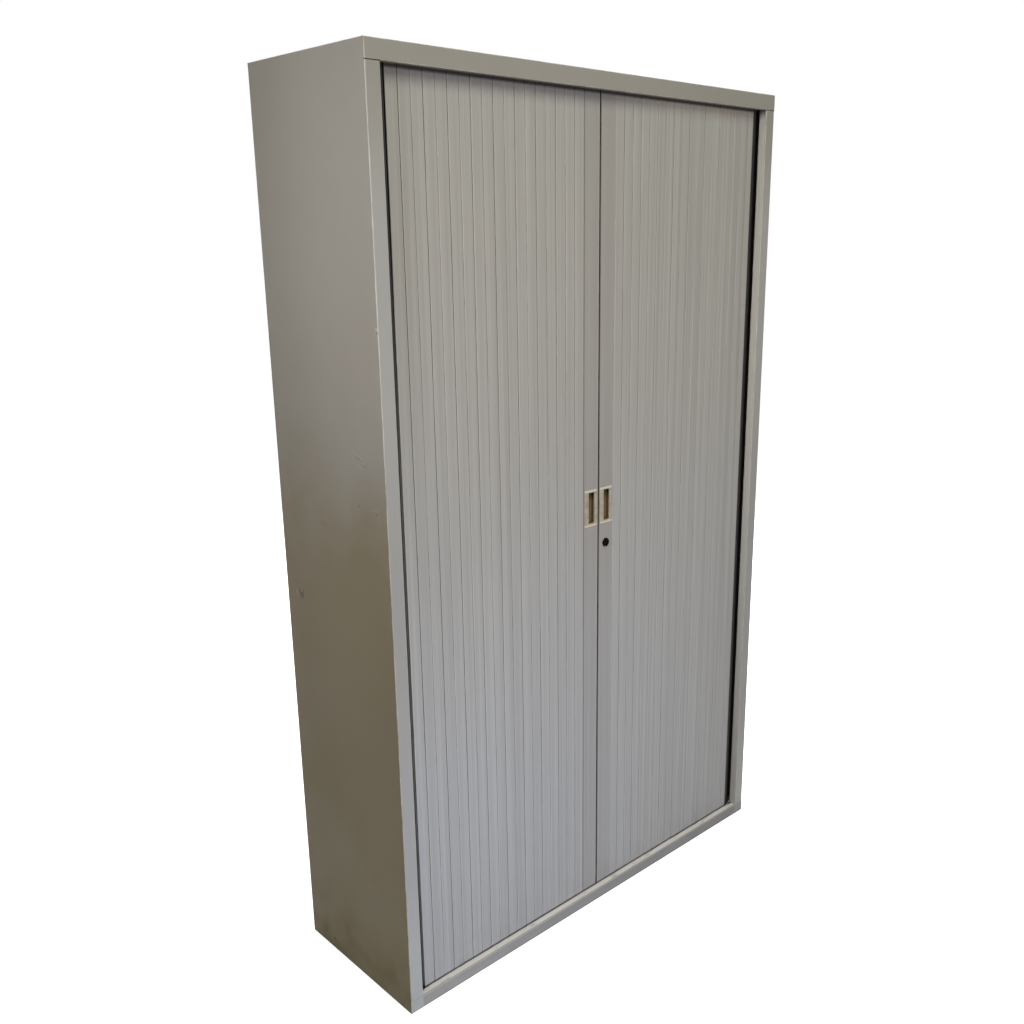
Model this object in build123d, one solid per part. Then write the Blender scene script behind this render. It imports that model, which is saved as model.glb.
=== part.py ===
from build123d import *
import math
import os

# A tall steel storage cupboard closed by two side-opening roll fronts.
# Millimetres.  +X is the cupboard's right as seen from the front, +Y goes back, +Z is up.
# The origin is on the floor, under the middle of the carcass.

# ---------------------------------------------------------------- overall
overall_width = 1200.0
overall_depth = 405.0
overall_height = 1980.0

# ---------------------------------------------------------------- sheet steel
steel = 1.0
bend_radius = 1.8
seam_gap = 0.6
fit_gap = 1.5
edge_radius = 0.8
small_chamfer = 0.6
cut_over = 1.0

# ---------------------------------------------------------------- front frame
fascia_height = 36.0
upright_width = 32.0
frame_return = 20.0
fascia_return = 16.0
rail_height = 28.0
rear_flange = 20.0
floor_flange = 20.0
floor_flange_gap = 2.0
top_lip = 25.0
side_hole_diameter = 5.0
link_hole_y = 144.0
link_hole_height = 891.0
low_hole_y = 103.0
low_hole_height = 26.0

# ---------------------------------------------------------------- roll fronts
face_setback = 19.0
slat_pitch = 27.75
slat_thickness = 9.0
slat_wall = 1.2
slat_chamfer = 0.7
slat_back_taper = 1.8
joint_gap = 0.8
pair_groove_depth = 1.1
hinge_web = 1.6
web_bite = 0.2
tail_slats = 5
turn_radius = 45.0
side_path_inset = 15.0
rear_path_inset = 18.5

# ---------------------------------------------------------------- tracks
track_wall = 2.0
track_clearance = 1.0
turn_clearance = 2.5
bottom_groove_depth = 9.0
top_groove_depth = 12.0
slat_lift_room = 4.0
lintel_gap = 3.0
sill_setback = 0.5
sill_end_gap = 0.5
end_stop_length = 8.0
end_stop_room = 12.0

# ---------------------------------------------------------------- lead rails
meeting_gap = 3.0
lead_width = 47.0
lead_thickness = 15.0
lead_wall = 1.3
lead_end_step = 12.0
lead_floor_gap = 1.0
turn_margin = 1.5
shoe_height = 18.0
shoe_clearance = 0.4
shoe_fit = 0.1
shoe_stand = 1.0

# ---------------------------------------------------------------- handles
handle_height = 1040.0
plate_width = 40.0
plate_height = 87.0
plate_thickness = 1.5
recess_width = 24.0
recess_height = 76.0
recess_depth = 10.5
cup_wall = 1.5
cup_clearance = 0.3
corner_radius = 2.5

# ---------------------------------------------------------------- lock
lock_below_handle = 92.0
lock_head_diameter = 18.5
lock_head_thickness = 2.0
barrel_diameter = 15.0
barrel_length = 23.0
plug_diameter = 10.0
plug_clearance = 0.05
plug_recess = 0.5
plug_past_barrel = 0.5
keyway_width = 1.4
keyway_height = 6.5
keyway_depth = 12.0
nut_across = 21.0
nut_thickness = 4.0
hook_thickness = 2.0
hook_arm_width = 8.0
hook_reach = 41.0
hook_finger_width = 6.0
hook_finger_angle = 25.0
hook_square = 6.0
hook_hub_diameter = 14.0
keeper_post_width = 4.5
keeper_post_height = 7.0
keeper_post_past_hook = 1.5
keeper_rise = 5.0
keeper_sheet = 2.0
keeper_edge_gap = 1.0
keeper_side_inset = 8.0
keeper_below_lock = 18.0
keeper_above_lock = 30.0

# ---------------------------------------------------------------- inside
liner_clearance = 1.0
liner_fold = 14.0
liner_chamfer = 10.5
liner_chamfer_depth = 26.0
rear_liner_past_turn = 20.0
slot_pitch = 40.0
slot_width = 20.0
slot_height = 4.0
slot_column_from_middle = 95.0
slot_first_height = 101.5
slot_top_margin = 60.0
shelf_slot_rows = (8, 17, 26, 35)
shelf_lip = 25.0
shelf_fold = 12.0
shelf_front_setback = 52.5
shelf_side_gap = 1.5
shelf_notch_depth = 4.0
clip_width = 18.0
clip_sheet = 1.5
clip_tongue = 14.0
clip_drop = 12.0
clip_tail = 6.0
clip_hook_half = 1.2
clip_hook_reach = 1.2
clip_hook_drop = 5.0
clip_play = 0.1
floor_rise = 11.0
deck_clearance = 0.5
deck_fold_inset = 20.0

# ---------------------------------------------------------------- levelling feet
foot_side_inset = 70.0
foot_end_inset = 62.0
rear_foot_extra_inset = 10.0
foot_pad_diameter = 36.0
foot_pad_thickness = 6.0
foot_pad_chamfer = 1.5
foot_thread_diameter = 10.0
foot_hole_diameter = 12.0
foot_thread_clearance = 0.05
foot_nut_across = 17.0
foot_nut_thickness = 8.0
foot_rest_gap = 0.4
foot_top_gap = 1.0

# ---------------------------------------------------------------- worked out once
side = overall_width / 2
front = -overall_depth / 2
back = overall_depth / 2
opening_side = side - upright_width
fascia_low = overall_height - fascia_height
sill_top = rail_height + track_wall
seat_level = sill_top - bottom_groove_depth - track_wall
floor_level = seat_level + floor_rise
bottom_groove_floor = seat_level + track_wall
lintel_low = fascia_low + lintel_gap
top_groove_roof = lintel_low + top_groove_depth
ceiling_level = top_groove_roof + track_wall

face = front + face_setback
path_front = face + slat_thickness / 2
path_side = side - side_path_inset
path_back = back - rear_path_inset
turn_x = path_side - turn_radius
turn_front_y = path_front + turn_radius
turn_back_y = path_back - turn_radius
half_groove = slat_thickness / 2 + track_clearance
half_turn_groove = slat_thickness / 2 + turn_clearance
half_turn_track = half_turn_groove + track_wall

slat_low = bottom_groove_floor
slat_high = top_groove_roof - slat_lift_room
lead_inner = meeting_gap / 2
lead_outer = lead_inner + lead_width
lead_middle = (lead_inner + lead_outer) / 2
lead_back = face + lead_thickness
door_travel = turn_x - turn_margin - lead_outer
lock_height = handle_height - lock_below_handle
pairs_per_door = int((turn_x - lead_outer - slat_pitch) / (2 * slat_pitch))
curtain_end = lead_outer + (2 * pairs_per_door + 2 + tail_slats) * slat_pitch

liner_face = path_side - half_turn_track - liner_clearance
liner_front = turn_front_y
liner_bend_y = turn_back_y
liner_back = liner_bend_y + liner_chamfer_depth
liner_rear_half = liner_face - liner_chamfer - liner_fold - liner_clearance
slot_columns = (-slot_column_from_middle, slot_column_from_middle)
slot_rows = 1 + int((ceiling_level - slot_top_margin - slot_first_height) / slot_pitch)
deck_fold_half = turn_x - deck_fold_inset
inner_back = back - 2 * steel

# ---------------------------------------------------------------- shapes used all over


def block(x0, x1, y0, y1, z0, z1):
    """A box between two corners."""
    size = (x1 - x0, y1 - y0, z1 - z0)
    middle = ((x0 + x1) / 2, (y0 + y1) / 2, (z0 + z1) / 2)
    return Pos(*middle) * Box(*size)


def rod(x, z, y0, y1, diameter):
    """A round bar that runs front to back."""
    bar = Cylinder(diameter / 2, y1 - y0)
    return Pos(x, (y0 + y1) / 2, z) * Rot(90, 0, 0) * bar


def side_rod(y, z, x0, x1, diameter):
    """A round bar that runs from side to side."""
    bar = Cylinder(diameter / 2, x1 - x0)
    return Pos((x0 + x1) / 2, y, z) * Rot(0, 90, 0) * bar


def upright_rod(x, y, z0, z1, diameter):
    """A round bar that stands upright."""
    return Pos(x, y, (z0 + z1) / 2) * Cylinder(diameter / 2, z1 - z0)


def bent_sheet(points, thickness, plane, start, length):
    """Folded sheet: points follow its outer face, the metal lies to their left."""
    heads = []
    for a, b in zip(points, points[1:]):
        run = math.hypot(b[0] - a[0], b[1] - a[1])
        heads.append(((b[0] - a[0]) / run, (b[1] - a[1]) / run))
    lefts = [(-hy, hx) for hx, hy in heads]
    inner = []
    outside = []
    inside = []
    for i, (px, py) in enumerate(points):
        before = lefts[max(i - 1, 0)]
        after = lefts[min(i, len(lefts) - 1)]
        share = thickness / (1 + before[0] * after[0] + before[1] * after[1])
        if i in (0, len(points) - 1):
            share = thickness / 2
        offset = (px + share * (before[0] + after[0]), py + share * (before[1] + after[1]))
        inner.append(offset)
        if 0 < i < len(points) - 1:
            h0 = heads[i - 1]
            h1 = heads[i]
            turns_left = h0[0] * h1[1] - h0[1] * h1[0] > 0
            outside.append((px, py) if turns_left else offset)
            inside.append(offset if turns_left else (px, py))
    outline = Polyline(*points, *reversed(inner), close=True)
    section = make_face(outline)
    for corners, radius in ((outside, bend_radius), (inside, bend_radius - thickness)):
        picked = [section.vertices().sort_by_distance(Vector(x, y, 0))[0] for x, y in corners]
        section = fillet(picked, radius)
    return extrude(plane.offset(start) * section, length)


def both_sides(solid):
    """A right-hand piece and its mirror image on the left."""
    return {"right": solid, "left": mirror(solid, about=Plane.YZ)}


# ---------------------------------------------------------------- the path of a roll front


def path_place(s):
    """Point and heading on the right-hand path, s along it from the middle of the front."""
    turn = turn_radius * math.pi / 2
    if s <= turn_x:
        return s, path_front, 0.0
    s = s - turn_x
    if s <= turn:
        a = s / turn_radius
        return turn_x + turn_radius * math.sin(a), turn_front_y - turn_radius * math.cos(a), a
    s = s - turn
    return path_side, turn_front_y + s, math.pi / 2


def path_length_to_back():
    """Along the path from the middle of the front to the start of the rear straight."""
    return turn_x + math.pi * turn_radius + (turn_back_y - turn_front_y)


rear_track_end = turn_x - (curtain_end + door_travel - path_length_to_back()) - end_stop_room


def path_plate(offset, z0, z1):
    """A plate bounded by the closed path, moved out by an offset."""
    wide = 2 * (path_side + offset)
    deep = path_back - path_front + 2 * offset
    outline = Pos(0, (path_front + path_back) / 2) * RectangleRounded(wide, deep, turn_radius + offset)
    return extrude(Plane.XY.offset(z0) * outline, z1 - z0)


def path_band(inner, outer, z0, z1):
    """A closed ring along the path, from one offset of it to another."""
    return path_plate(outer, z0, z1) - path_plate(inner, z0, z1)


# ---------------------------------------------------------------- carcass


def make_side_panel():
    """Outer side: front flange with its return, the side itself and the rear flange."""
    outer = [
        (opening_side, front + frame_return),
        (opening_side, front),
        (side, front),
        (side, back),
        (side - rear_flange, back),
    ]
    high = overall_height - steel
    panel = bent_sheet(outer, steel, Plane.XY, 0, high)
    x0 = opening_side - cut_over
    y0 = front - cut_over
    return_back = front + frame_return + steel + cut_over
    for z0, z1 in ((-cut_over, sill_top + seam_gap), (fascia_low - seam_gap, overall_height)):
        panel -= block(x0, side + cut_over, y0, front + steel, z0, z1)
        panel -= block(x0, side - steel, y0, return_back, z0, z1)
    x0 = side - rear_flange - cut_over
    y0 = back - steel - cut_over
    rear_low = overall_height - top_lip - seam_gap
    panel -= block(x0, side - steel, y0, back + cut_over, rear_low, high + cut_over)
    y0 = front + frame_return + floor_flange_gap
    y1 = inner_back - floor_flange_gap
    panel += block(side - floor_flange, side - steel / 2, y0, y1, 0, steel)
    for y, z in ((link_hole_y, link_hole_height), (low_hole_y, low_hole_height)):
        panel -= side_rod(y, z, side - rear_flange, side + cut_over, side_hole_diameter)
    return panel


def make_top_panel():
    """Top sheet, folded down at the front as the fascia and at the back as a lip."""
    outer = [
        (back, overall_height - top_lip),
        (back, overall_height),
        (front, overall_height),
        (front, fascia_low),
        (front + fascia_return, fascia_low),
    ]
    panel = bent_sheet(outer, steel, Plane.YZ, -side, overall_width)
    for sign in (-1, 1):
        x0, x1 = sorted((sign * (side - steel), sign * (side + cut_over)))
        panel -= block(x0, x1, front + steel, back + cut_over, 0, overall_height - steel)
    return panel


def make_ceiling_panel():
    """Inner ceiling that the top track hangs from, with folds up to the top sheet."""
    front_fold = path_front - half_turn_track - steel
    outer = [
        (front_fold, overall_height - steel),
        (front_fold, ceiling_level),
        (inner_back, ceiling_level),
        (inner_back, overall_height - steel),
    ]
    half = side - steel
    panel = bent_sheet(outer, steel, Plane.YZ, -half, 2 * half)
    for sign in (-1, 1):
        x0, x1 = sorted((sign * half, sign * (half - steel)))
        end = block(x0, x1, front_fold, inner_back, ceiling_level, overall_height - steel)
        panel += end
    return panel


def make_base_tray():
    """Front rail, groove seat and rear skirt of the base, folded from one sheet."""
    groove_front = path_front - half_turn_track - steel
    outer = [
        (inner_back, 0),
        (inner_back, seat_level),
        (groove_front, seat_level),
        (groove_front, rail_height),
        (front, rail_height),
        (front, 0),
        (front + frame_return, 0),
    ]
    tray = bent_sheet(outer, steel, Plane.YZ, -side, overall_width)
    for sign in (-1, 1):
        x0, x1 = sorted((sign * (side - steel), sign * (side + cut_over)))
        tray -= block(x0, x1, front + steel, back, -cut_over, rail_height + cut_over)
        x0, x1 = sorted((sign * opening_side, sign * side))
        tray += block(x0, x1, front, front + steel, rail_height - bend_radius, sill_top)
    for x, y in foot_places():
        tray -= upright_rod(x, y, 0, sill_top, foot_hole_diameter)
    return tray


def make_floor_panel():
    """Raised deck inside the cupboard, on folds that stand on the base tray."""
    half = liner_face - steel - liner_clearance
    y0 = path_front + half_turn_track + deck_clearance
    y1 = liner_bend_y - liner_clearance
    y2 = liner_back - steel - liner_clearance
    low = floor_level - steel
    inside_track = path_plate(-half_turn_track - deck_clearance, low, floor_level)
    deck = inside_track & block(-half, half, y0, y1, low, floor_level)
    deck += inside_track & block(-liner_rear_half, liner_rear_half, y1 - steel, y2, low, floor_level)
    for sign in (-1, 1):
        x0, x1 = sorted((sign * (liner_face - liner_fold - cut_over), sign * side))
        y0 = liner_front - cut_over
        deck -= block(x0, x1, y0, liner_front + steel + cut_over, seat_level, floor_level + cut_over)
    for y in (path_front + half_turn_track + deck_clearance, y2 - steel):
        deck += block(-deck_fold_half, deck_fold_half, y, y + steel, seat_level, floor_level)
    for x, y in foot_places():
        deck -= upright_rod(x, y, seat_level, floor_level + cut_over, foot_hole_diameter)
    return deck


def make_back_panel():
    """Flat sheet held inside the rear flanges, the top lip and the base."""
    half = side - steel - fit_gap
    return block(-half, half, back - 2 * steel, back - steel, fit_gap, overall_height - steel - fit_gap)


def make_liner():
    """Inner side wall between the shelves and the roll front's pocket, slotted for clips."""
    outer = [
        (liner_face - liner_fold, liner_front),
        (liner_face, liner_front),
        (liner_face, liner_bend_y),
        (liner_face - liner_chamfer, liner_back),
        (liner_face - liner_chamfer - liner_fold, liner_back),
    ]
    liner = bent_sheet(outer, steel, Plane.XY, seat_level, ceiling_level - seat_level)
    cutter = Part()
    for row in range(slot_rows):
        z = slot_first_height + row * slot_pitch
        for y in slot_columns:
            cutter += block(
                liner_face - 2 * steel,
                liner_face + steel,
                y - slot_width / 2,
                y + slot_width / 2,
                z - slot_height / 2,
                z + slot_height / 2,
            )
    return liner - cutter


def make_rear_liner():
    """Inner back wall, in front of the pocket where the open roll fronts lie."""
    half = turn_x + rear_liner_past_turn
    return block(-half, half, liner_back, liner_back + steel, seat_level, ceiling_level)


# ---------------------------------------------------------------- tracks


def track_ring(low, high, floor_low, floor_high, half_inside):
    """Both walls and the floor of a grooved track, all the way round the path."""
    half_outside = half_inside + track_wall
    ring = path_band(-half_outside, half_outside, floor_low, floor_high)
    ring += path_band(half_inside, half_outside, low, high)
    ring += path_band(-half_outside, -half_inside, low, high)
    return ring


def front_part(ring):
    """The straight of a track across the front."""
    return ring & block(-turn_x, turn_x, front, 0, 0, overall_height)


def side_part(ring):
    """The corner, side, rear corner and rear straight of a track, on the right."""
    corner = block(turn_x, side, front, back, 0, overall_height)
    rear = block(rear_track_end, turn_x, 0, back, 0, overall_height)
    return (ring & corner) + (ring & rear)


def bottom_ring(half_inside):
    """The bottom track, its groove open upwards."""
    return track_ring(seat_level, sill_top, seat_level, bottom_groove_floor, half_inside)


def top_ring(half_inside):
    """The top track, its groove open downwards."""
    return track_ring(lintel_low, ceiling_level, top_groove_roof, ceiling_level, half_inside)


def make_bottom_track_front():
    """Front straight of the bottom track, with the sill strip that covers the front rail."""
    half = opening_side - sill_end_gap
    strip_back = path_front - half_groove
    sill = block(-half, half, front + sill_setback, strip_back, rail_height, sill_top)
    for sign in (-1, 1):
        x0, x1 = sorted((sign * turn_x, sign * (half + cut_over)))
        y0 = path_front - half_turn_track - sill_end_gap
        sill -= block(x0, x1, y0, strip_back + cut_over, seat_level, sill_top + cut_over)
    track = front_part(bottom_ring(half_groove)) + sill
    long_edge = track.edges().filter_by(Axis.X).group_by(Axis.Z)[-1].sort_by(Axis.Y)[0]
    return fillet(long_edge, edge_radius)


def make_end_stop(sign, low, high):
    """Plug in a track's rear end, where the last slat stops."""
    x0, x1 = sorted((sign * rear_track_end, sign * (rear_track_end + end_stop_length)))
    y = path_back
    return block(x0, x1, y - half_turn_groove, y + half_turn_groove, low, high)


# ---------------------------------------------------------------- roll fronts


def slat_profile(width):
    """Cross-section of one hollow slat, its face towards -Y, centred on the path."""
    half = width / 2
    t = slat_thickness / 2
    c = slat_chamfer
    b = slat_back_taper
    shape = Polyline(
        (-half, 0),
        (-half, -t + c),
        (-half + c, -t),
        (half - c, -t),
        (half, -t + c),
        (half, 0),
        (half - b, t),
        (-half + b, t),
        close=True,
    )
    hollow = Rectangle(width - 2 * slat_wall - 2 * b, slat_thickness - 2 * slat_wall)
    return make_face(shape) - hollow


def slat_at(s):
    """One slat of the right-hand curtain, s being where its leading edge is on the path."""
    x0, y0, _ = path_place(s)
    x1, y1, _ = path_place(s + slat_pitch)
    angle = math.degrees(math.atan2(y1 - y0, x1 - x0))
    place = Pos((x0 + x1) / 2, (y0 + y1) / 2) * Rot(0, 0, angle)
    section = place * slat_profile(slat_pitch - joint_gap)
    return extrude(Plane.XY.offset(slat_low) * section, slat_high - slat_low)


def make_slat_pair(s):
    """Two slats joined by the soft web between them."""
    pair = slat_at(s) + slat_at(s + slat_pitch)
    x, y, angle = path_place(s + slat_pitch)
    reach = joint_gap / 2 + web_bite
    web_front = -slat_thickness / 2 + pair_groove_depth
    web = block(-reach, reach, web_front, web_front + hinge_web, slat_low, slat_high)
    return pair + Pos(x, y, 0) * Rot(0, 0, math.degrees(angle)) * web


def slat_start(number):
    """Where slat number 0, 1, 2 ... of a curtain starts on its path."""
    return lead_outer + number * slat_pitch


# ---------------------------------------------------------------- lead rails


def make_lead_rail():
    """Hollow rail at the curtain's leading edge, with thinner ends that take the shoes."""
    step_low = sill_top + lead_end_step
    step_high = lintel_low - lead_end_step
    low = slat_low + shoe_clearance + lead_floor_gap
    thin_back = face + slat_thickness
    rail = block(lead_inner, lead_outer, face, thin_back, low, slat_high)
    rail += block(lead_inner, lead_outer, face, lead_back, step_low, step_high)
    outside = rail.edges().filter_by(Axis.Z).group_by(Axis.Y)[0]
    rail = fillet(outside, edge_radius)
    x0 = lead_inner + lead_wall
    x1 = lead_outer - lead_wall
    y0 = face + lead_wall
    rail -= block(x0, x1, y0, thin_back - lead_wall, low - cut_over, step_low)
    rail -= block(x0, x1, y0, thin_back - lead_wall, step_high, slat_high + cut_over)
    rail -= block(x0, x1, y0, lead_back - lead_wall, step_low + lead_wall, step_high - lead_wall)
    half = recess_width / 2 + cup_wall + cup_clearance
    x0 = lead_middle - half
    x1 = lead_middle + half
    half = recess_height / 2 + cup_wall + cup_clearance
    z0 = handle_height - half
    z1 = handle_height + half
    return rail - block(x0, x1, face - cut_over, y0 + cut_over, z0, z1)


def make_lead_shoes():
    """Nylon shoes in both ends of a lead rail, which run in the grooves."""
    x0 = lead_inner + lead_wall + shoe_fit
    x1 = lead_outer - lead_wall - shoe_fit
    y0 = face + lead_wall + shoe_fit
    y1 = face + slat_thickness - lead_wall - shoe_fit
    low = bottom_groove_floor + shoe_clearance
    high = slat_high + shoe_stand
    bottom = block(x0, x1, y0, y1, low, low + shoe_height)
    top = block(x0, x1, y0, y1, high - shoe_height, high)
    return bottom + top


def make_handle_cup():
    """Moulded flush pull: a thin plate round a deep cup for the fingers."""
    x = lead_middle
    z = handle_height
    front_face = face - plate_thickness
    facing = Plane(origin=(x, front_face, z), x_dir=(1, 0, 0), z_dir=(0, 1, 0))
    plate = extrude(facing * RectangleRounded(plate_width, plate_height, corner_radius), plate_thickness)
    wide = recess_width + 2 * cup_wall
    high = recess_height + 2 * cup_wall
    cup = extrude(facing * RectangleRounded(wide, high, corner_radius), recess_depth + cup_wall)
    rim = plate.faces().sort_by(Axis.Y)[0].edges()
    solid = chamfer(rim, small_chamfer) + cup
    pocket = extrude(facing * RectangleRounded(recess_width, recess_height, corner_radius), recess_depth)
    return solid - pocket


# ---------------------------------------------------------------- lock


def make_lock_barrel():
    """Fixed body of the cam lock: round head, threaded barrel and a bore for the plug."""
    x = lead_middle
    z = lock_height
    head_front = face - lock_head_thickness
    head = rod(x, z, head_front, face, lock_head_diameter)
    head = chamfer(head.edges().sort_by(Axis.Y)[0], small_chamfer)
    barrel = rod(x, z, face, face + barrel_length, barrel_diameter)
    y0 = head_front - cut_over
    y1 = face + barrel_length + cut_over
    bore = rod(x, z, y0, y1, plug_diameter + 2 * plug_clearance)
    return head + barrel - bore


def make_lock_plug():
    """Turning plug with its keyway in front and a square tail behind for the hook."""
    x = lead_middle
    z = lock_height
    y0 = face - lock_head_thickness + plug_recess
    y1 = face + barrel_length + plug_past_barrel
    plug = rod(x, z, y0, y1, plug_diameter)
    h = hook_square / 2
    plug += block(x - h, x + h, y1, y1 + hook_thickness, z - h, z + h)
    w = keyway_width / 2
    k = keyway_height / 2
    plug -= block(x - w, x + w, y0 - cut_over, y0 + keyway_depth, z - k, z + k)
    return plug


def make_hook():
    """Hook plate on the plug's tail, hanging down while the lock is open."""
    y0 = face + barrel_length + plug_past_barrel
    y1 = y0 + hook_thickness
    z = lock_height
    x = lead_middle
    outer = rod(x, z, y0, y1, 2 * hook_reach)
    inner = rod(x, z, y0 - cut_over, y1 + cut_over, 2 * (hook_reach - hook_finger_width))
    ring = outer - inner
    tip_angle = math.radians(hook_finger_angle)
    far = 2 * hook_reach
    tip = (-far * math.sin(tip_angle), -far * math.cos(tip_angle))
    wedge = make_face(Polyline((0, 0), (hook_arm_width / 2, -far), tip, close=True))
    facing = Plane(origin=(x, y1 + cut_over, z), x_dir=(1, 0, 0), z_dir=(0, -1, 0))
    finger = ring & extrude(facing * wedge, hook_thickness + 2 * cut_over)
    h = hook_arm_width / 2
    arm = block(x - h, x + h, y0, y1, z - hook_reach + hook_finger_width / 2, z)
    hub = rod(x, z, y0, y1, hook_hub_diameter)
    q = hook_square / 2
    return arm + hub + finger - block(x - q, x + q, y0 - cut_over, y1 + cut_over, z - q, z + q)


def make_lock_nut():
    """Hexagon nut that clamps the barrel to the rail's back wall."""
    flat = RegularPolygon(nut_across / 2, 6, major_radius=False)
    facing = Plane(origin=(lead_middle, lead_back, lock_height), x_dir=(1, 0, 0), z_dir=(0, 1, 0))
    nut = extrude(facing * flat, nut_thickness)
    y0 = lead_back - cut_over
    y1 = lead_back + nut_thickness + cut_over
    return nut - rod(lead_middle, lock_height, y0, y1, barrel_diameter)


def make_keeper():
    """Catch behind the left lead rail: a base plate and the post that the hook gets behind."""
    z = lock_height
    post_side = lead_inner + keeper_edge_gap
    post_low = z + keeper_rise
    reach_back = face + barrel_length + hook_thickness + keeper_post_past_hook
    x0 = -post_side - keeper_post_width
    post = block(x0, -post_side, lead_back, reach_back, post_low, post_low + keeper_post_height)
    x0 = -lead_outer + keeper_side_inset
    z0 = z - keeper_below_lock
    z1 = z + keeper_above_lock
    return post + block(x0, -post_side, lead_back, lead_back + keeper_sheet, z0, z1)


# ---------------------------------------------------------------- shelves


def slot_height_of(row):
    """Height of the middle of a row of slots."""
    return slot_first_height + row * slot_pitch


def shelf_level(row):
    """Top of a shelf whose clips hook into this row of slots."""
    return slot_height_of(row) + clip_drop - clip_sheet + steel


def make_shelf(level):
    """Steel shelf with a folded front and rear lip and cut-back rear corners."""
    y0 = front + shelf_front_setback
    y1 = liner_back - liner_clearance - 2 * steel
    outer = [
        (y1 - shelf_fold, level - shelf_lip),
        (y1, level - shelf_lip),
        (y1, level),
        (y0, level),
        (y0, level - shelf_lip),
        (y0 + shelf_fold, level - shelf_lip),
    ]
    half = liner_face - steel - shelf_side_gap
    shelf = bent_sheet(outer, steel, Plane.YZ, -half, 2 * half)
    low = level - shelf_lip - cut_over
    high = level + cut_over
    for sign in (-1, 1):
        far = sign * (half + cut_over)
        x0, x1 = sorted((sign * liner_rear_half, far))
        shelf -= block(x0, x1, liner_bend_y - shelf_notch_depth, back, low, high)
        x0, x1 = sorted((sign * (liner_face - liner_fold - cut_over), far))
        shelf -= block(x0, x1, front, liner_front + steel + cut_over, low, high)
    return shelf


def make_clip(y, level):
    """Folded clip, hooked into one slot on the right, with the tongue that carries a shelf."""
    wall = liner_face - steel
    tongue_top = level - steel
    slot_z = tongue_top + clip_sheet - clip_drop
    y0 = y - clip_width / 2
    y1 = y + clip_width / 2
    clip = block(wall - clip_tongue, wall, y0, y1, tongue_top - clip_sheet, tongue_top)
    clip += block(wall - clip_sheet, wall, y0, y1, slot_z - clip_tail, tongue_top)
    hook_out = liner_face + clip_hook_reach
    hook_top = slot_z + clip_hook_half
    clip += block(wall - clip_sheet, hook_out, y0, y1, slot_z - clip_hook_half, hook_top)
    clip += block(liner_face + clip_play, hook_out, y0, y1, slot_z - clip_hook_drop, hook_top)
    return clip


# ---------------------------------------------------------------- levelling feet


def foot_places():
    """The four feet, clear of the tracks: (x, y) of each."""
    x = side - foot_side_inset
    ys = (front + foot_end_inset, back - foot_end_inset - rear_foot_extra_inset)
    return [(sx * x, y) for y in ys for sx in (-1, 1)]


def make_foot(x, y):
    """Round pad with a threaded stem, screwed all the way up."""
    nut_low = seat_level - steel - foot_nut_thickness
    collar_top = nut_low - foot_rest_gap
    pad = upright_rod(x, y, 0, foot_pad_thickness, foot_pad_diameter)
    pad = chamfer(pad.edges().group_by(Axis.Z)[-1], foot_pad_chamfer)
    collar = upright_rod(x, y, 0, collar_top, foot_nut_across)
    stem_top = floor_level - steel - foot_top_gap
    stem = upright_rod(x, y, 0, stem_top, foot_thread_diameter)
    return pad + collar + stem


def make_foot_nut(x, y):
    """Hexagon nut welded under the base tray."""
    top = seat_level - steel
    flat = RegularPolygon(foot_nut_across / 2, 6, major_radius=False)
    nut = extrude(Plane.XY.offset(top - foot_nut_thickness) * Pos(x, y) * flat, foot_nut_thickness)
    bore = foot_thread_diameter + 2 * foot_thread_clearance
    return nut - upright_rod(x, y, 0, top + cut_over, bore)


# ---------------------------------------------------------------- the assembly

parts = {}

for hand, solid in both_sides(make_side_panel()).items():
    parts[hand + "_side_panel"] = solid
parts["top_panel"] = make_top_panel()
parts["ceiling_panel"] = make_ceiling_panel()
parts["base_tray"] = make_base_tray()
parts["floor_panel"] = make_floor_panel()
parts["back_panel"] = make_back_panel()
for hand, solid in both_sides(make_liner()).items():
    parts[hand + "_liner"] = solid
parts["rear_liner"] = make_rear_liner()

parts["bottom_track_front"] = make_bottom_track_front()
parts["top_track_front"] = front_part(top_ring(half_groove))
for hand, solid in both_sides(side_part(bottom_ring(half_turn_groove))).items():
    parts["bottom_track_" + hand] = solid
for hand, solid in both_sides(side_part(top_ring(half_turn_groove))).items():
    parts["top_track_" + hand] = solid
stops = []
for sign in (-1, 1):
    stops.append(make_end_stop(sign, bottom_groove_floor, sill_top))
    stops.append(make_end_stop(sign, lintel_low, top_groove_roof))
parts["track_end_stops"] = Compound(stops)

clips = []
for number, row in enumerate(shelf_slot_rows, start=1):
    level = shelf_level(row)
    parts[f"shelf_{number}"] = make_shelf(level)
    for y in slot_columns:
        clips.extend(both_sides(make_clip(y, level)).values())
parts["shelf_clips"] = Compound(clips)

foot_names = ("front_left_foot", "front_right_foot", "rear_left_foot", "rear_right_foot")
for name, (x, y) in zip(foot_names, foot_places()):
    parts[name] = make_foot(x, y)
parts["foot_nuts"] = Compound([make_foot_nut(x, y) for x, y in foot_places()])

for hand, solid in both_sides(slat_at(slat_start(0))).items():
    parts[hand + "_starter_slat"] = solid
for number in range(1, pairs_per_door + 1):
    for hand, solid in both_sides(make_slat_pair(slat_start(2 * number - 1))).items():
        parts[f"{hand}_slat_pair_{number}"] = solid
flat_slats = 2 * pairs_per_door + 1
for hand, solid in both_sides(slat_at(slat_start(flat_slats))).items():
    parts[hand + "_corner_slat"] = solid
tail = [slat_at(slat_start(flat_slats + 1 + i)) for i in range(tail_slats)]
parts["right_tail_slats"] = Compound(tail)
parts["left_tail_slats"] = Compound([mirror(slat, about=Plane.YZ) for slat in tail])

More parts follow.
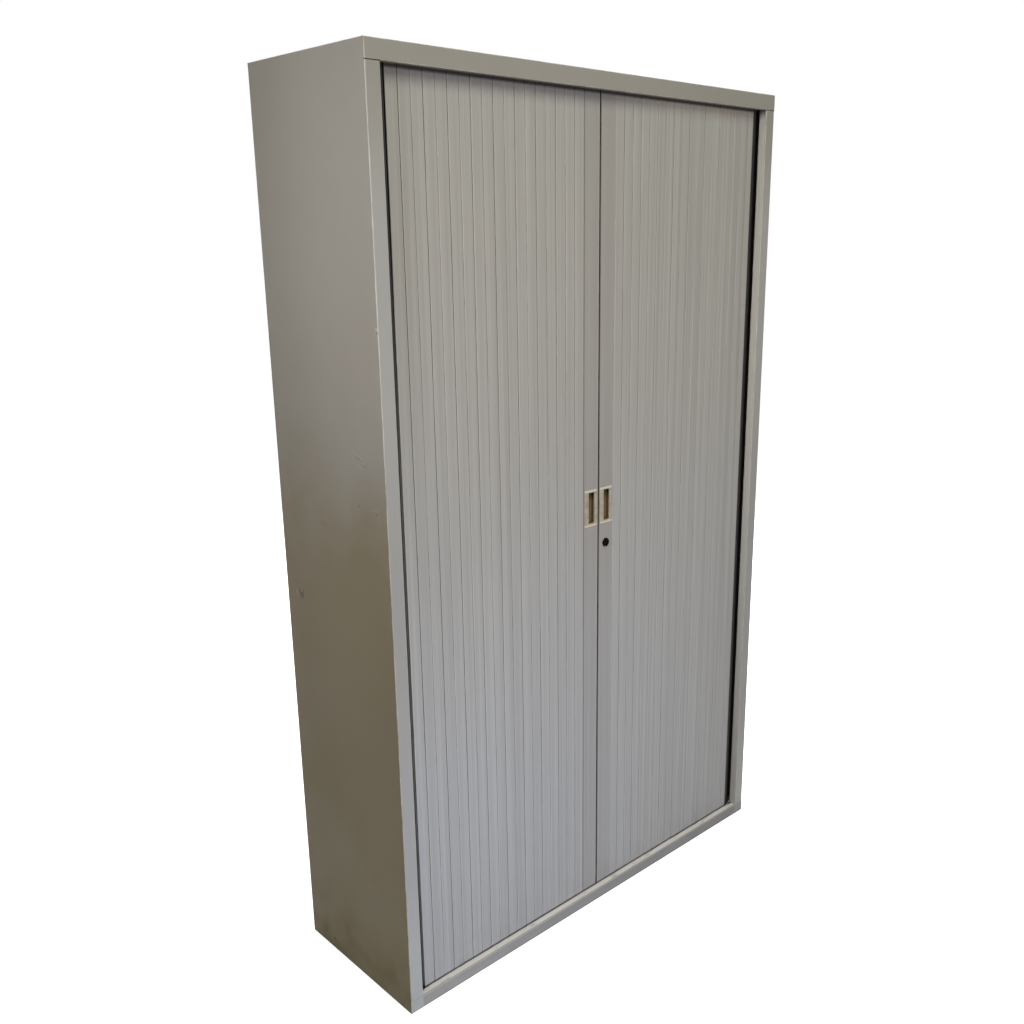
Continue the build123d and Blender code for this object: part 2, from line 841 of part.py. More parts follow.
for hand, solid in both_sides(make_lead_rail()).items():
    parts[hand + "_lead_rail"] = solid
lock_hole = rod(lead_middle, lock_height, face - cut_over, lead_back + cut_over, barrel_diameter)
parts["right_lead_rail"] = parts["right_lead_rail"] - lock_hole
for hand, solid in both_sides(make_lead_shoes()).items():
    parts[hand + "_lead_shoes"] = solid
for hand, solid in both_sides(make_handle_cup()).items():
    parts[hand + "_handle_cup"] = solid
parts["lock_keeper"] = make_keeper()
parts["lock_barrel"] = make_lock_barrel()
parts["lock_nut"] = make_lock_nut()
parts["lock_plug"] = make_lock_plug()
parts["lock_hook"] = make_hook()

os.makedirs("parts", exist_ok=True)
for name, solid in parts.items():
    export_step(solid, f"parts/{name}.step")
print(len(parts), "parts, door travel", door_travel)
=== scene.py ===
import math

import bmesh
import bpy
from mathutils import Matrix, Vector


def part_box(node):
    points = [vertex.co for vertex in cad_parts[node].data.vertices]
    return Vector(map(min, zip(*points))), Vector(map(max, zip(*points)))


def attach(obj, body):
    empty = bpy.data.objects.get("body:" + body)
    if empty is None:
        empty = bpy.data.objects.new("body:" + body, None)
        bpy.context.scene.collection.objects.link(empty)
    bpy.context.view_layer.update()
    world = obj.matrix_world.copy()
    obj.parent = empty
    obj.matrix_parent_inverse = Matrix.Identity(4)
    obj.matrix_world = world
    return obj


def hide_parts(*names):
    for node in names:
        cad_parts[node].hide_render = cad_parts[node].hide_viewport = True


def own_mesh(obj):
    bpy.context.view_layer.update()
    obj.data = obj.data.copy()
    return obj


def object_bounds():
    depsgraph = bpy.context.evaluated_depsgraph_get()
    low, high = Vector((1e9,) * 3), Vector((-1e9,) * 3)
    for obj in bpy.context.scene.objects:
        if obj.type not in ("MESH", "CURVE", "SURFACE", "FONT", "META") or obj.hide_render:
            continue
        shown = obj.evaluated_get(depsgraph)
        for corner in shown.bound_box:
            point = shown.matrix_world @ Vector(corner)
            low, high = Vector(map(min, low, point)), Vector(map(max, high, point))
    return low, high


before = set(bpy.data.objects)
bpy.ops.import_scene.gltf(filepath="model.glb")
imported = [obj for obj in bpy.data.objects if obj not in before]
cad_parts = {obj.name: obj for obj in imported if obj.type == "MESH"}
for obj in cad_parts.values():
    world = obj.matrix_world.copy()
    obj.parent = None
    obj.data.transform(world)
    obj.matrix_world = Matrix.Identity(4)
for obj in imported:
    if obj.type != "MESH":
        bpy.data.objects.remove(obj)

cad_low, cad_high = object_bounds()
scene = bpy.context.scene


# ------------------------------------------------------------------ camera
# A viewer standing in front and to the left, whose eye is 1.66 m above the floor.  The
# lens is given in pixels of a square picture, as is the place where its axis meets it.

picture_size = 1024
focal_length_pixels = 1035.86
axis_column = 558.76
axis_row = 515.98
film_width = 36.0
eye = Vector((-1.6841, -1.8035, 1.6582))
heading = math.radians(46.148)
look_down = math.radians(15.352)
lean = math.radians(-0.257)

lens = bpy.data.cameras.new("camera")
lens.sensor_width = film_width
lens.lens = focal_length_pixels * film_width / picture_size
lens.shift_x = (picture_size / 2 - axis_column) / picture_size
lens.shift_y = (axis_row - picture_size / 2) / picture_size
lens.dof.use_dof = False
camera = bpy.data.objects.new("camera", lens)
turn = Matrix.Rotation(heading - math.pi / 2, 4, "Z")
tilt = Matrix.Rotation(math.pi / 2 - look_down, 4, "X")
camera.matrix_world = Matrix.Translation(eye) @ turn @ tilt @ Matrix.Rotation(lean, 4, "Z")
scene.collection.objects.link(camera)
scene.camera = camera


# ------------------------------------------------------------------ carcass sheets
# The outer sides, top, back and base tray are folded from 1 mm sheet steel, spot-welded
# and powder-coated light grey.  The folds carry a painted highlight, the foot is soiled,
# the sides carry grime and painted shade low down, the base tray is darker to the right
# in painted shade, and the left side carries the scuffs of a cupboard that has been moved.

paint_grey = (156, 153, 148)
# Tints by height: partly ageing, partly painted light, warm towards the top and cool near the floor.
paint_tints = {"Aged_and_warm_light": (0.94, 0.915, 0.88, 1), "Fresh_and_cool_light": (1.02, 1.03, 1.08, 1)}
# Light paint: a painted highlight along folds and edges, and the colour of one real chip on the left
# side.
rubbed_paint_and_highlight = (205, 201, 188)
# Dark primer of scuffs and seams, also laid as painted shade towards the rear of the sides.
primer_and_shade_dark = (62, 57, 50)
coat_bruised = (182, 176, 160)
soil_brown = (96, 88, 72)
# Grime and painted shade on the outer sides, browner and darker low down.
side_grime_and_shade = (130, 121, 95)
foot_grime_and_shade = (105, 97, 66)
# Painted light and painted shadow on the flange returns.
return_painted_light = (196, 192, 181)
return_shadow = (58, 54, 54)
# Painted light on the front faces of the flanges.
flange_painted_light = (175, 175, 172)
# Painted shade on the base tray, darker towards the right.
base_shade_grey = (104, 108, 110)
# How strong the grime and painted shade are on each side.
left_grime_and_shade = 0.8
right_grime_and_shade = 0.35
base_shade_share = 0.25
fascia_height = 0.036
# Width of the painted highlight along the folds.
fold_highlight_width = 0.0022
seam_dirt_width = 0.0016
weld_pitch = 0.160
weld_radius = 0.0035
weld_offset = 0.004

# Each change of tone over the height or depth of the sides and flanges, grime, painted
# shade and painted light among them: the two places between which it runs, and its
# strength at both.
grime_and_shade_rise = (1.50, 1.12, 0.0, 1.0)
foot_grime_and_shade_rise = (0.95, 0.20, 0.0, 1.0)
foot_grime_and_shade_depth = (-0.15, 0.15, 0.65, 1.0)
rear_shade = (-0.04, 0.17, 0.0, 0.13)
# Painted light on the flange fronts: high up, fading at the waist, strongest at the foot.
upper_light_rise = (1.95, 1.65, 0.0, 0.6)
waist_light_fade = (1.35, 0.95, 1.0, 0.35)
foot_light_rise = (0.45, 0.05, 0.0, 0.95)
fascia_shadow = (0.024, 0.004)
base_shade_stretch = (-0.45, -0.05)

side_low, side_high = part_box("right_side_panel")
half_width = side_high.x
half_depth = side_high.y
opening_side = side_low.x
cupboard_top = cad_high.z
fascia_edge = cupboard_top - fascia_height


def tone(red, green, blue):
    """A colour given as eight-bit screen values, as linear light."""
    linear = []
    for part in (red, green, blue):
        share = part / 255
        linear.append(share / 12.92 if share <= 0.04045 else ((share + 0.055) / 1.055) ** 2.4)
    return (*linear, 1.0)


def join(tree, value, socket):
    """Links an output to a socket, or sets the socket to a plain value."""
    if isinstance(value, bpy.types.NodeSocket):
        tree.links.new(value, socket)
    else:
        socket.default_value = value


def add(tree, kind, sockets=None, **settings):
    """One shader node with its settings, its inputs linked or set."""
    node = tree.nodes.new("ShaderNode" + kind)
    for label, value in settings.items():
        setattr(node, label, value)
    for label, value in (sockets or {}).items():
        join(tree, value, node.inputs[label])
    return node


def split(tree, place):
    """The x, y and z of a place."""
    return add(tree, "SeparateXYZ", {0: place}).outputs


def maths(tree, operation, first, second=0.0, third=0.0):
    """One step of arithmetic."""
    return add(tree, "Math", {0: first, 1: second, 2: third}, operation=operation).outputs[0]


def times(tree, first, second):
    """One value multiplied by another."""
    return maths(tree, "MULTIPLY", first, second)


def far_from(tree, value, middle):
    """How far a value lies to either side of a middle."""
    return maths(tree, "ABSOLUTE", maths(tree, "SUBTRACT", value, middle))


def ramp(tree, value, start, end, low=0.0, high=1.0):
    """Runs smoothly from low to high as the value goes from start to end."""
    sockets = {"Value": value, "From Min": start, "From Max": end, "To Min": low, "To Max": high}
    return add(tree, "MapRange", sockets, interpolation_type="SMOOTHSTEP").outputs[0]


def mix(tree, share, first, second, how="MIX"):
    """One colour laid over another."""
    node = add(tree, "Mix", data_type="RGBA", blend_type=how)
    join(tree, share, node.inputs[0])
    join(tree, first, node.inputs[6])
    join(tree, second, node.inputs[7])
    return node.outputs[2]


def lay(tree, colour, over, mask, strength=None):
    """Lays a screen colour over another within a mask, in full or in part."""
    share = mask if strength is None else times(tree, mask, strength)
    return mix(tree, share, colour, tone(*over))


def vary(tree, colour, factor):
    """Makes a colour lighter or darker by a factor near one."""
    grey = add(tree, "CombineColor", {0: factor, 1: factor, 2: factor}).outputs[0]
    return mix(tree, 1.0, colour, grey, "MULTIPLY")


def noise(tree, place, scale, detail=3.0, roughness=0.55, stretch=None):
    """Soft random values, stretched along an axis where a finish has a grain."""
    if stretch:
        place = add(tree, "VectorMath", {0: place, 1: stretch}, operation="MULTIPLY").outputs[0]
    sockets = {"Vector": place, "Scale": scale, "Detail": detail, "Roughness": roughness}
    return add(tree, "TexNoise", sockets).outputs[0]


def start_effect(name, takes, gives):
    """An empty shader group with named inputs and outputs."""
    tree = bpy.data.node_groups.new(name, "ShaderNodeTree")
    for label, kind in takes.items():
        tree.interface.new_socket(label, in_out="INPUT", socket_type="NodeSocket" + kind)
    for label, kind in gives.items():
        tree.interface.new_socket(label, in_out="OUTPUT", socket_type="NodeSocket" + kind)
    entry = tree.nodes.new("NodeGroupInput")
    end = tree.nodes.new("NodeGroupOutput")
    return tree, entry.outputs, end.inputs


def effect(tree, group, **sockets):
    """Places a shader group in a material and returns its outputs."""
    node = add(tree, "Group", node_tree=group)
    for label, value in sockets.items():
        join(tree, value, node.inputs[label])
    return node.outputs


def start_finish(name):
    """A new material: its tree, object coordinates in metres and the surface shader."""
    material = bpy.data.materials.new(name)
    material.use_nodes = True
    tree = material.node_tree
    tree.nodes.clear()
    place = add(tree, "TexCoord").outputs["Object"]
    surface = add(tree, "BsdfPrincipled")
    add(tree, "OutputMaterial", {"Surface": surface.outputs[0]})
    return material, tree, place, surface


def finish_surface(tree, surface, colour, roughness, height, depth, gloss=0.5):
    """Joins colour, roughness, gloss and relief to the surface shader."""
    join(tree, colour, surface.inputs["Base Color"])
    join(tree, roughness, surface.inputs["Roughness"])
    join(tree, gloss, surface.inputs["Specular IOR Level"])
    bump = add(tree, "Bump", {"Height": height, "Distance": depth, "Strength": 1.0})
    join(tree, bump.outputs[0], surface.inputs["Normal"])


def give_finish(node, material):
    """Gives a piece that keeps its solid shape its finish."""
    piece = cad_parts[node]
    if not piece.material_slots:
        piece.data.materials.append(material)
    for held in piece.material_slots:
        held.material = material


def make_ageing_and_light_tint():
    """Old coatings: yellowed towards the top, cool and fresh near the floor; the warm top and the cool,
    lighter foot are partly painted light.
    """
    takes = {"Place": "Vector", "Colour": "Color", "Aged_and_warm_light": "Color", "Fresh_and_cool_light": "Color"}
    tree, given, result = start_effect("ageing_and_light_tint", takes, {"Colour": "Color"})
    z = split(tree, given["Place"])[2]
    drift = noise(tree, given["Place"], 1.7, 2.0)
    level = maths(tree, "DIVIDE", z, cupboard_top)
    level = maths(tree, "MULTIPLY_ADD", drift, 0.35, maths(tree, "SUBTRACT", level, 0.17))
    shade = mix(tree, ramp(tree, level, 0.1, 0.95), given["Fresh_and_cool_light"], given["Aged_and_warm_light"])
    join(tree, mix(tree, 1.0, given["Colour"], shade, "MULTIPLY"), result["Colour"])
    return tree


def make_mottle():
    """Slow unevenness of a sprayed or moulded colour, centred on one."""
    takes = {"Place": "Vector", "Strength": "Float"}
    tree, given, result = start_effect("mottle", takes, {"Factor": "Float"})
    broad = noise(tree, given["Place"], 2.3, 3.0)
    close = noise(tree, given["Place"], 21.0, 3.0)
    both = maths(tree, "MULTIPLY_ADD", close, 0.5, broad)
    centred = maths(tree, "SUBTRACT", both, 0.75)
    join(tree, maths(tree, "MULTIPLY_ADD", centred, given["Strength"], 1.0), result["Factor"])
    return tree


def make_orange_peel():
    """Relief of powder coat: fine peel over the slow waves of thin sheet."""
    takes = {"Place": "Vector", "Waves": "Float"}
    tree, given, result = start_effect("orange_peel", takes, {"Height": "Float"})
    peel = noise(tree, given["Place"], 420.0, 2.0, 0.5)
    waves = noise(tree, given["Place"], 3.1, 1.0, 0.4)
    height = times(tree, peel, 0.10)
    total = maths(tree, "MULTIPLY_ADD", waves, given["Waves"], height)
    join(tree, total, result["Height"])
    return tree


def make_floor_soil():
    """Splashes and mop marks that thin out with height above the floor."""
    takes = {"Place": "Vector", "Reach": "Float"}
    tree, given, result = start_effect("floor_soil", takes, {"Mask": "Float"})
    z = split(tree, given["Place"])[2]
    low = ramp(tree, z, given["Reach"], 0.0)
    patches = ramp(tree, noise(tree, given["Place"], 14.0, 5.0, 0.65), 0.35, 0.75)
    join(tree, times(tree, low, patches), result["Mask"])
    return tree


def make_highlight_line():
    """A painted highlight along a line, laid as paint rubbed bright: strong within the width, broken up
    by use.
    """
    takes = {"Place": "Vector", "Distance": "Float", "Width": "Float"}
    tree, given, result = start_effect("highlight_line", takes, {"Mask": "Float"})
    uneven = noise(tree, given["Place"], 34.0, 4.0, 0.6)
    reach = times(tree, given["Width"], ramp(tree, uneven, 0.2, 0.8, 0.35, 1.6))
    join(tree, ramp(tree, given["Distance"], reach, 0.0), result["Mask"])
    return tree


def make_scratch():
    """A thin stroke between two points, fading at its ends and broken along its run."""
    takes = {"Place": "Vector", "From": "Vector", "To": "Vector", "Width": "Float"}
    tree, given, result = start_effect("scratch", takes, {"Mask": "Float"})

    def along(operation, first, second):
        return add(tree, "VectorMath", {0: first, 1: second}, operation=operation)

    run = along("SUBTRACT", given["To"], given["From"]).outputs[0]
    reach = along("SUBTRACT", given["Place"], given["From"]).outputs[0]
    done = along("DOT_PRODUCT", reach, run).outputs["Value"]
    whole = along("DOT_PRODUCT", run, run).outputs["Value"]
    held = add(tree, "Clamp", {0: maths(tree, "DIVIDE", done, whole)}).outputs[0]
    foot = add(tree, "VectorMath", {0: run, "Scale": held}, operation="SCALE").outputs[0]
    gap = along("DISTANCE", reach, foot).outputs["Value"]
    body = ramp(tree, gap, given["Width"], 0.0)
    start = ramp(tree, held, 0.0, 0.2, 0.2)
    end = ramp(tree, held, 1.0, 0.6, 0.1)
    broken = ramp(tree, noise(tree, given["Place"], 260.0, 2.0), 0.30, 0.55)
    faded = times(tree, body, times(tree, start, end))
    join(tree, times(tree, faded, broken), result["Mask"])
    return tree


def make_spot_welds():
    """Shallow dimples up the rear flanges, where the sheets are welded together."""
    takes = {"Place": "Vector"}
    tree, given, result = start_effect("spot_welds", takes, {"Height": "Float"})
    x, y, z = split(tree, given["Place"])
    up = maths(tree, "SUBTRACT", maths(tree, "FLOORED_MODULO", z, weld_pitch), weld_pitch / 2)
    line = (opening_side + half_width) / 2
    across = maths(tree, "SUBTRACT", maths(tree, "ABSOLUTE", x), line + weld_offset)
    square = maths(tree, "MULTIPLY_ADD", up, up, times(tree, across, across))
    dimple = ramp(tree, maths(tree, "SQRT", square), weld_radius, weld_radius * 0.4)
    rear = ramp(tree, y, half_depth - 0.003, half_depth - 0.002)
    join(tree, times(tree, dimple, rear), result["Height"])
    return tree


ageing_and_light_tint = make_ageing_and_light_tint()
mottle = make_mottle()
orange_peel = make_orange_peel()
floor_soil = make_floor_soil()
highlight_line = make_highlight_line()
scratch = make_scratch()
spot_welds = make_spot_welds()

# Each scuff on the left side: y and z of both its ends, its width, how strong it is, and
# the colour it left: primer laid bare, coat bruised lighter or an edge rubbed bright.
left_scuffs = (
    ((-0.093, 1.247), (-0.140, 1.232), 0.0020, 0.55, coat_bruised),
    ((-0.100, 1.238), (-0.128, 1.230), 0.0020, 0.35, primer_and_shade_dark),
    ((-0.110, 1.224), (-0.129, 1.213), 0.0026, 0.50, coat_bruised),
    ((-0.128, 1.223), (-0.143, 1.219), 0.0020, 0.50, primer_and_shade_dark),
    ((-0.120, 1.240), (-0.136, 1.216), 0.0018, 0.45, coat_bruised),
    ((-0.107, 1.139), (-0.108, 1.136), 0.0034, 0.85, primer_and_shade_dark),
    ((-0.167, 1.133), (-0.168, 1.129), 0.0030, 0.75, primer_and_shade_dark),
    ((-0.141, 1.135), (-0.189, 1.144), 0.0014, 0.40, coat_bruised),
    ((0.045, 1.078), (0.015, 1.071), 0.0014, 0.35, primer_and_shade_dark),
    ((0.136, 0.901), (0.139, 0.880), 0.0044, 0.95, primer_and_shade_dark),
    ((0.152, 0.902), (0.142, 0.878), 0.0044, 0.85, primer_and_shade_dark),
    ((0.163, 0.900), (0.161, 0.882), 0.0036, 0.60, coat_bruised),
    ((0.101, 0.027), (0.105, 0.025), 0.0060, 0.95, primer_and_shade_dark),
    ((-0.194, 1.488), (-0.2025, 1.486), 0.0034, 0.90, rubbed_paint_and_highlight),
    ((-0.199, 1.484), (-0.2025, 1.478), 0.0022, 0.70, primer_and_shade_dark),
)


def tone_returns(tree, colour, aside):
    """Returns of the flanges: painted light on their inner faces, a painted shadow just under the
    fascia.
    """
    inward = ramp(tree, aside["x"], opening_side + 0.0026, opening_side + 0.0012)
    behind = ramp(tree, aside["y"], half_depth - 0.0014, half_depth - 0.0026)
    inward = times(tree, inward, behind)
    colour = lay(tree, colour, return_painted_light, inward, 0.6)
    below = maths(tree, "SUBTRACT", fascia_edge, aside["z"])
    hidden = times(tree, inward, ramp(tree, below, *fascia_shadow))
    return lay(tree, colour, return_shadow, hidden, 0.6)


def tone_flanges(tree, colour, aside, y):
    """Front faces of the flanges: painted light, paler high up, less so at the waist, most at the foot.
    """
    front = ramp(tree, y, 0.0015 - half_depth, 0.0008 - half_depth)
    front = times(tree, front, maths(tree, "GREATER_THAN", aside["x"], opening_side))
    lightened = ramp(tree, aside["z"], *upper_light_rise)
    lightened = times(tree, lightened, ramp(tree, aside["z"], *waist_light_fade))
    lightened = maths(tree, "MAXIMUM", lightened, ramp(tree, aside["z"], *foot_light_rise))
    return lay(tree, colour, flange_painted_light, front, lightened)


def soil_and_shade_side(tree, place, colour, aside, y, grime_and_shade):
    """Outer faces of the sides: grime and painted shade from chest height down, darkest at the foot, and
    painted shade towards the rear.
    """
    outer = ramp(tree, aside["x"], half_width - 0.0015, half_width - 0.0005)
    uneven = maths(tree, "MULTIPLY_ADD", noise(tree, place, 5.0), 0.4, aside["z"])
    shaded_grime = times(tree, times(tree, outer, ramp(tree, uneven, *grime_and_shade_rise)), grime_and_shade)
    colour = lay(tree, colour, side_grime_and_shade, shaded_grime)
    low = times(tree, ramp(tree, aside["z"], *foot_grime_and_shade_rise), ramp(tree, y, *foot_grime_and_shade_depth))
    colour = lay(tree, colour, foot_grime_and_shade, shaded_grime, low)
    # Painted shade towards the rear of the outer sides.
    rear = times(tree, outer, ramp(tree, y, *rear_shade))
    return lay(tree, colour, primer_and_shade_dark, rear, grime_and_shade)


def highlight_folds(tree, place, colour, aside, y, folds):
    """A painted highlight along the folds, apart from the dirty seam between the fascia and the flanges.
    """
    rubbed = None
    for (first, first_place), (second, second_place) in folds:
        first_gap = maths(tree, "SUBTRACT", aside[first], first_place)
        second_gap = maths(tree, "SUBTRACT", aside[second], second_place)
        square = maths(tree, "MULTIPLY_ADD", first_gap, first_gap, times(tree, second_gap, second_gap))
        apart = maths(tree, "SQRT", square)
        line = effect(tree, highlight_line, Place=place, Distance=apart, Width=fold_highlight_width)[0]
        rubbed = line if rubbed is None else maths(tree, "MAXIMUM", rubbed, line)
    level = far_from(tree, aside["z"], fascia_edge)
    seam = ramp(tree, level, seam_dirt_width, seam_dirt_width * 0.4)
    seam = times(tree, seam, ramp(tree, aside["x"], opening_side - 0.002, opening_side))
    seam = times(tree, seam, ramp(tree, y, 0.004 - half_depth, 0.002 - half_depth))
    rubbed = times(tree, rubbed, maths(tree, "SUBTRACT", 1.0, seam))
    # A painted highlight along the folds.
    colour = lay(tree, colour, rubbed_paint_and_highlight, rubbed, 0.75)
    return lay(tree, colour, primer_and_shade_dark, seam, 0.7)


def carcass_paint(name, folds, scuffs=(), waves=1.4, welds=False, grime_and_shade=0.0, base_shade=0.0):
    """Powder coat on folded sheet.  A fold is the line where two planes meet."""
    material, tree, place, surface = start_finish(name)
    x, y, z = split(tree, place)
    aside = {"x": maths(tree, "ABSOLUTE", x), "y": maths(tree, "ABSOLUTE", y), "z": z}
    base = effect(tree, ageing_and_light_tint, Place=place, Colour=tone(*paint_grey), **paint_tints)[0]
    colour = vary(tree, base, effect(tree, mottle, Place=place, Strength=0.10)[0])
    colour = tone_returns(tree, colour, aside)
    colour = tone_flanges(tree, colour, aside, y)
    colour = soil_and_shade_side(tree, place, colour, aside, y, grime_and_shade)
    soil = effect(tree, floor_soil, Place=place, Reach=0.22)[0]
    colour = lay(tree, colour, soil_brown, soil, 0.10)
    # Painted shade: the base tray darker towards the right.
    colour = lay(tree, colour, base_shade_grey, ramp(tree, x, *base_shade_stretch, 0.0, base_shade))
    colour = highlight_folds(tree, place, colour, aside, y, folds)
    for start, end, width, strength, left_bare in scuffs:
        ends = {"From": (-half_width, *start), "To": (-half_width, *end)}
        mark = effect(tree, scratch, Place=place, Width=width, **ends)[0]
        colour = lay(tree, colour, left_bare, mark, strength)
    height = effect(tree, orange_peel, Place=place, Waves=waves)[0]
    if welds:
        dimples = effect(tree, spot_welds, Place=place)[0]
        height = maths(tree, "SUBTRACT", height, times(tree, dimples, 0.6))
    smear = ramp(tree, noise(tree, place, 6.0, 4.0, 0.6), 0.3, 0.7, 0.36, 0.44)
    rough = maths(tree, "MULTIPLY_ADD", soil, 0.2, smear)
    finish_surface(tree, surface, colour, rough, height, 0.0006, gloss=0.10)
    return material


side_folds = (
    (("x", half_width), ("y", half_depth)),
    (("x", opening_side), ("y", half_depth)),
)
top_folds = (
    (("z", cupboard_top), ("y", half_depth)),
    (("z", cupboard_top), ("x", half_width)),
    (("z", fascia_edge), ("y", half_depth)),
    (("x", half_width), ("y", half_depth)),
)
base_folds = (
    (("z", 0.0), ("y", half_depth)),
    (("x", half_width), ("y", half_depth)),
)
left_side = carcass_paint("paint_left_side", side_folds, left_scuffs, welds=True, grime_and_shade=left_grime_and_shade)
right_side = carcass_paint("paint_right_side", side_folds, welds=True, grime_and_shade=right_grime_and_shade)
give_finish("left_side_panel", left_side)
give_finish("right_side_panel", right_side)
give_finish("top_panel", carcass_paint("paint_top", top_folds))
give_finish("base_tray", carcass_paint("paint_base", base_folds, base_shade=base_shade_share))
give_finish("back_panel", carcass_paint("paint_back", base_folds[1:], waves=3.0))


# ------------------------------------------------------------------ inner sheets
# Ceiling, raised floor, slotted liners, rear liner and shelves: the same steel in a
# thinner, cleaner coat, dusty where it lies flat and scratched by what was stored.

inner_grey = (186, 185, 180)
dust_grey = (150, 145, 134)
drag_grey = (120, 118, 112)


def inner_paint():
    """Thin even coat with dust on top faces and drag marks from front to back."""
    material, tree, place, surface = start_finish("paint_inside")
    facing = add(tree, "NewGeometry").outputs["Normal"]
    up = ramp(tree, split(tree, facing)[2], 0.7, 0.98)
    even = effect(tree, mottle, Place=place, Strength=0.08)[0]
    colour = vary(tree, tone(*inner_grey), even)
    dust = ramp(tree, noise(tree, place, 9.0, 5.0, 0.6), 0.35, 0.7)
    dust = times(tree, dust, up)
    colour = lay(tree, colour, dust_grey, dust, 0.3)
    drag = ramp(tree, noise(tree, place, 1.0, 4.0, 0.6, (95.0, 4.0, 20.0)), 0.62, 0.72)
    drag = times(tree, drag, up)
    colour = lay(tree, colour, drag_grey, drag, 0.35)
    rough = maths(tree, "MULTIPLY_ADD", dust, 0.25, 0.48)
    height = effect(tree, orange_peel, Place=place, Waves=1.0)[0]
    finish_surface(tree, surface, colour, rough, height, 0.0005, gloss=0.35)
    return material


inside = inner_paint()
for node in ("ceiling_panel", "floor_panel", "left_liner", "right_liner", "rear_liner"):
    give_finish(node, inside)
for number in range(1, 5):
    give_finish(f"shelf_{number}", inside)


# ------------------------------------------------------------------ tracks and sill
# Extruded cream plastic: the grooves that the slats run in, with the sill strip that
# covers the front rail.  Clipped to the base tray and the ceiling, soiled by feet.

track_cream = (235, 226, 221)
track_grime = (92, 82, 64)
track_groove_dark = (40, 36, 30)
sill_lip = 0.0024
face_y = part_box("right_starter_slat")[0].y
strip_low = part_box("bottom_track_front")[0]


def track_plastic():
    """Cream plastic with dirt worked into it, darkest in the groove, and a grey front lip."""
    material, tree, place, surface = start_finish("track_cream")
    y = split(tree, place)[1]
    even = effect(tree, mottle, Place=place, Strength=0.12)[0]
    colour = vary(tree, tone(*track_cream), even)
    blots = ramp(tree, noise(tree, place, 24.0, 6.0, 0.7, (1.0, 3.0, 3.0)), 0.52, 0.72)
    colour = lay(tree, colour, track_grime, blots, 0.45)
    edge = ramp(tree, far_from(tree, y, face_y), 0.004, 0.0005)
    lanes = ramp(tree, noise(tree, place, 40.0, 4.0), 0.3, 0.6, 0.4, 1.0)
    colour = lay(tree, colour, track_groove_dark, edge, lanes)
    lip = ramp(tree, y, strip_low.y + sill_lip + 0.001, strip_low.y + sill_lip)
    colour = lay(tree, colour, paint_grey, lip, 0.85)
    rough = ramp(tree, blots, 0.0, 1.0, 0.42, 0.65)
    height = noise(tree, place, 1.0, 3.0, 0.6, (12.0, 900.0, 900.0))
    finish_surface(tree, surface, colour, rough, height, 0.0001, gloss=0.35)
    return material


cream = track_plastic()
for end in ("bottom_track", "top_track"):
    for stretch in ("front", "left", "right"):
        give_finish(f"{end}_{stretch}", cream)


def soft_black(name, colour, rough, grain_scale, grain_depth, gloss=0.4, dust=0.06):
    """Black rubber or plastic, greyed by dust in a fine moulded grain."""
    material, tree, place, surface = start_finish(name)
    grain = noise(tree, place, grain_scale, 3.0, 0.6)
    bloom = ramp(tree, noise(tree, place, 60.0, 4.0), 0.4, 0.8)
    shade = lay(tree, tone(*colour), dust_grey, bloom, dust)
    roughness = ramp(tree, bloom, 0, 1, rough, rough + 0.2)
    finish_surface(tree, surface, shade, roughness, grain, grain_depth, gloss)
    return material


rubber_black = (38, 37, 35)
give_finish("track_end_stops", soft_black("stop_rubber", rubber_black, 0.7, 900.0, 0.0002))


# ------------------------------------------------------------------ plated steel parts
# Shelf clips, foot nuts, and the lock's nut, hook and keeper: pressed or turned steel,
# zinc-plated, with the faint blue and straw cloud of the passivated coat.

zinc_blue = (186, 190, 196)
zinc_straw = (194, 186, 160)


def zinc_plate():
    """Bright zinc with cloudy tint and fine brushing."""
    material, tree, place, surface = start_finish("zinc_plated")
    cloud = ramp(tree, noise(tree, place, 90.0, 4.0, 0.6), 0.35, 0.7)
    colour = lay(tree, tone(*zinc_blue), zinc_straw, cloud)
    scale = noise(tree, place, 1.0, 3.0, 0.6, (1500.0, 200.0, 1500.0))
    rough = ramp(tree, scale, 0.2, 0.8, 0.30, 0.5)
    surface.inputs["Metallic"].default_value = 0.9
    finish_surface(tree, surface, colour, rough, scale, 0.00005)
    return material


plated = zinc_plate()
for node in ("shelf_clips", "foot_nuts", "lock_nut", "lock_hook", "lock_keeper"):
    give_finish(node, plated)


# ------------------------------------------------------------------ levelling feet
# A black moulded pad on a zinc-plated stem, screwed up until the cupboard stands on its
# folded edges.

pad_top = 0.0062
pad_black = (32, 32, 32)


def foot_finish():
    """Black plastic up to the top of the pad, plated steel above it."""
    material, tree, place, surface = start_finish("foot_pad_and_stem")
    z = split(tree, place)[2]
    stem = maths(tree, "GREATER_THAN", z, pad_top)
    grain = noise(tree, place, 700.0, 3.0)
    scuffed = ramp(tree, noise(tree, place, 80.0, 4.0), 0.4, 0.8)
    black = lay(tree, tone(*pad_black), dust_grey, scuffed, 0.3)
    colour = lay(tree, black, zinc_blue, stem)
    join(tree, times(tree, stem, 0.9), surface.inputs["Metallic"])
    finish_surface(tree, surface, colour, ramp(tree, scuffed, 0, 1, 0.4, 0.6), grain, 0.0001)
    return material


foot = foot_finish()
for place_name in ("front_left", "front_right", "rear_left", "rear_right"):
    give_finish(f"{place_name}_foot", foot)


# ------------------------------------------------------------------ roll fronts
# Each roll front is hard plastic slats standing upright, joined in pairs by a soft web.
# Between pairs the gap is open and dark; inside a pair it is a shallow groove.  The slats
# are extruded, so they carry fine streaks from end to end.

slat_grey = (163, 161, 157)
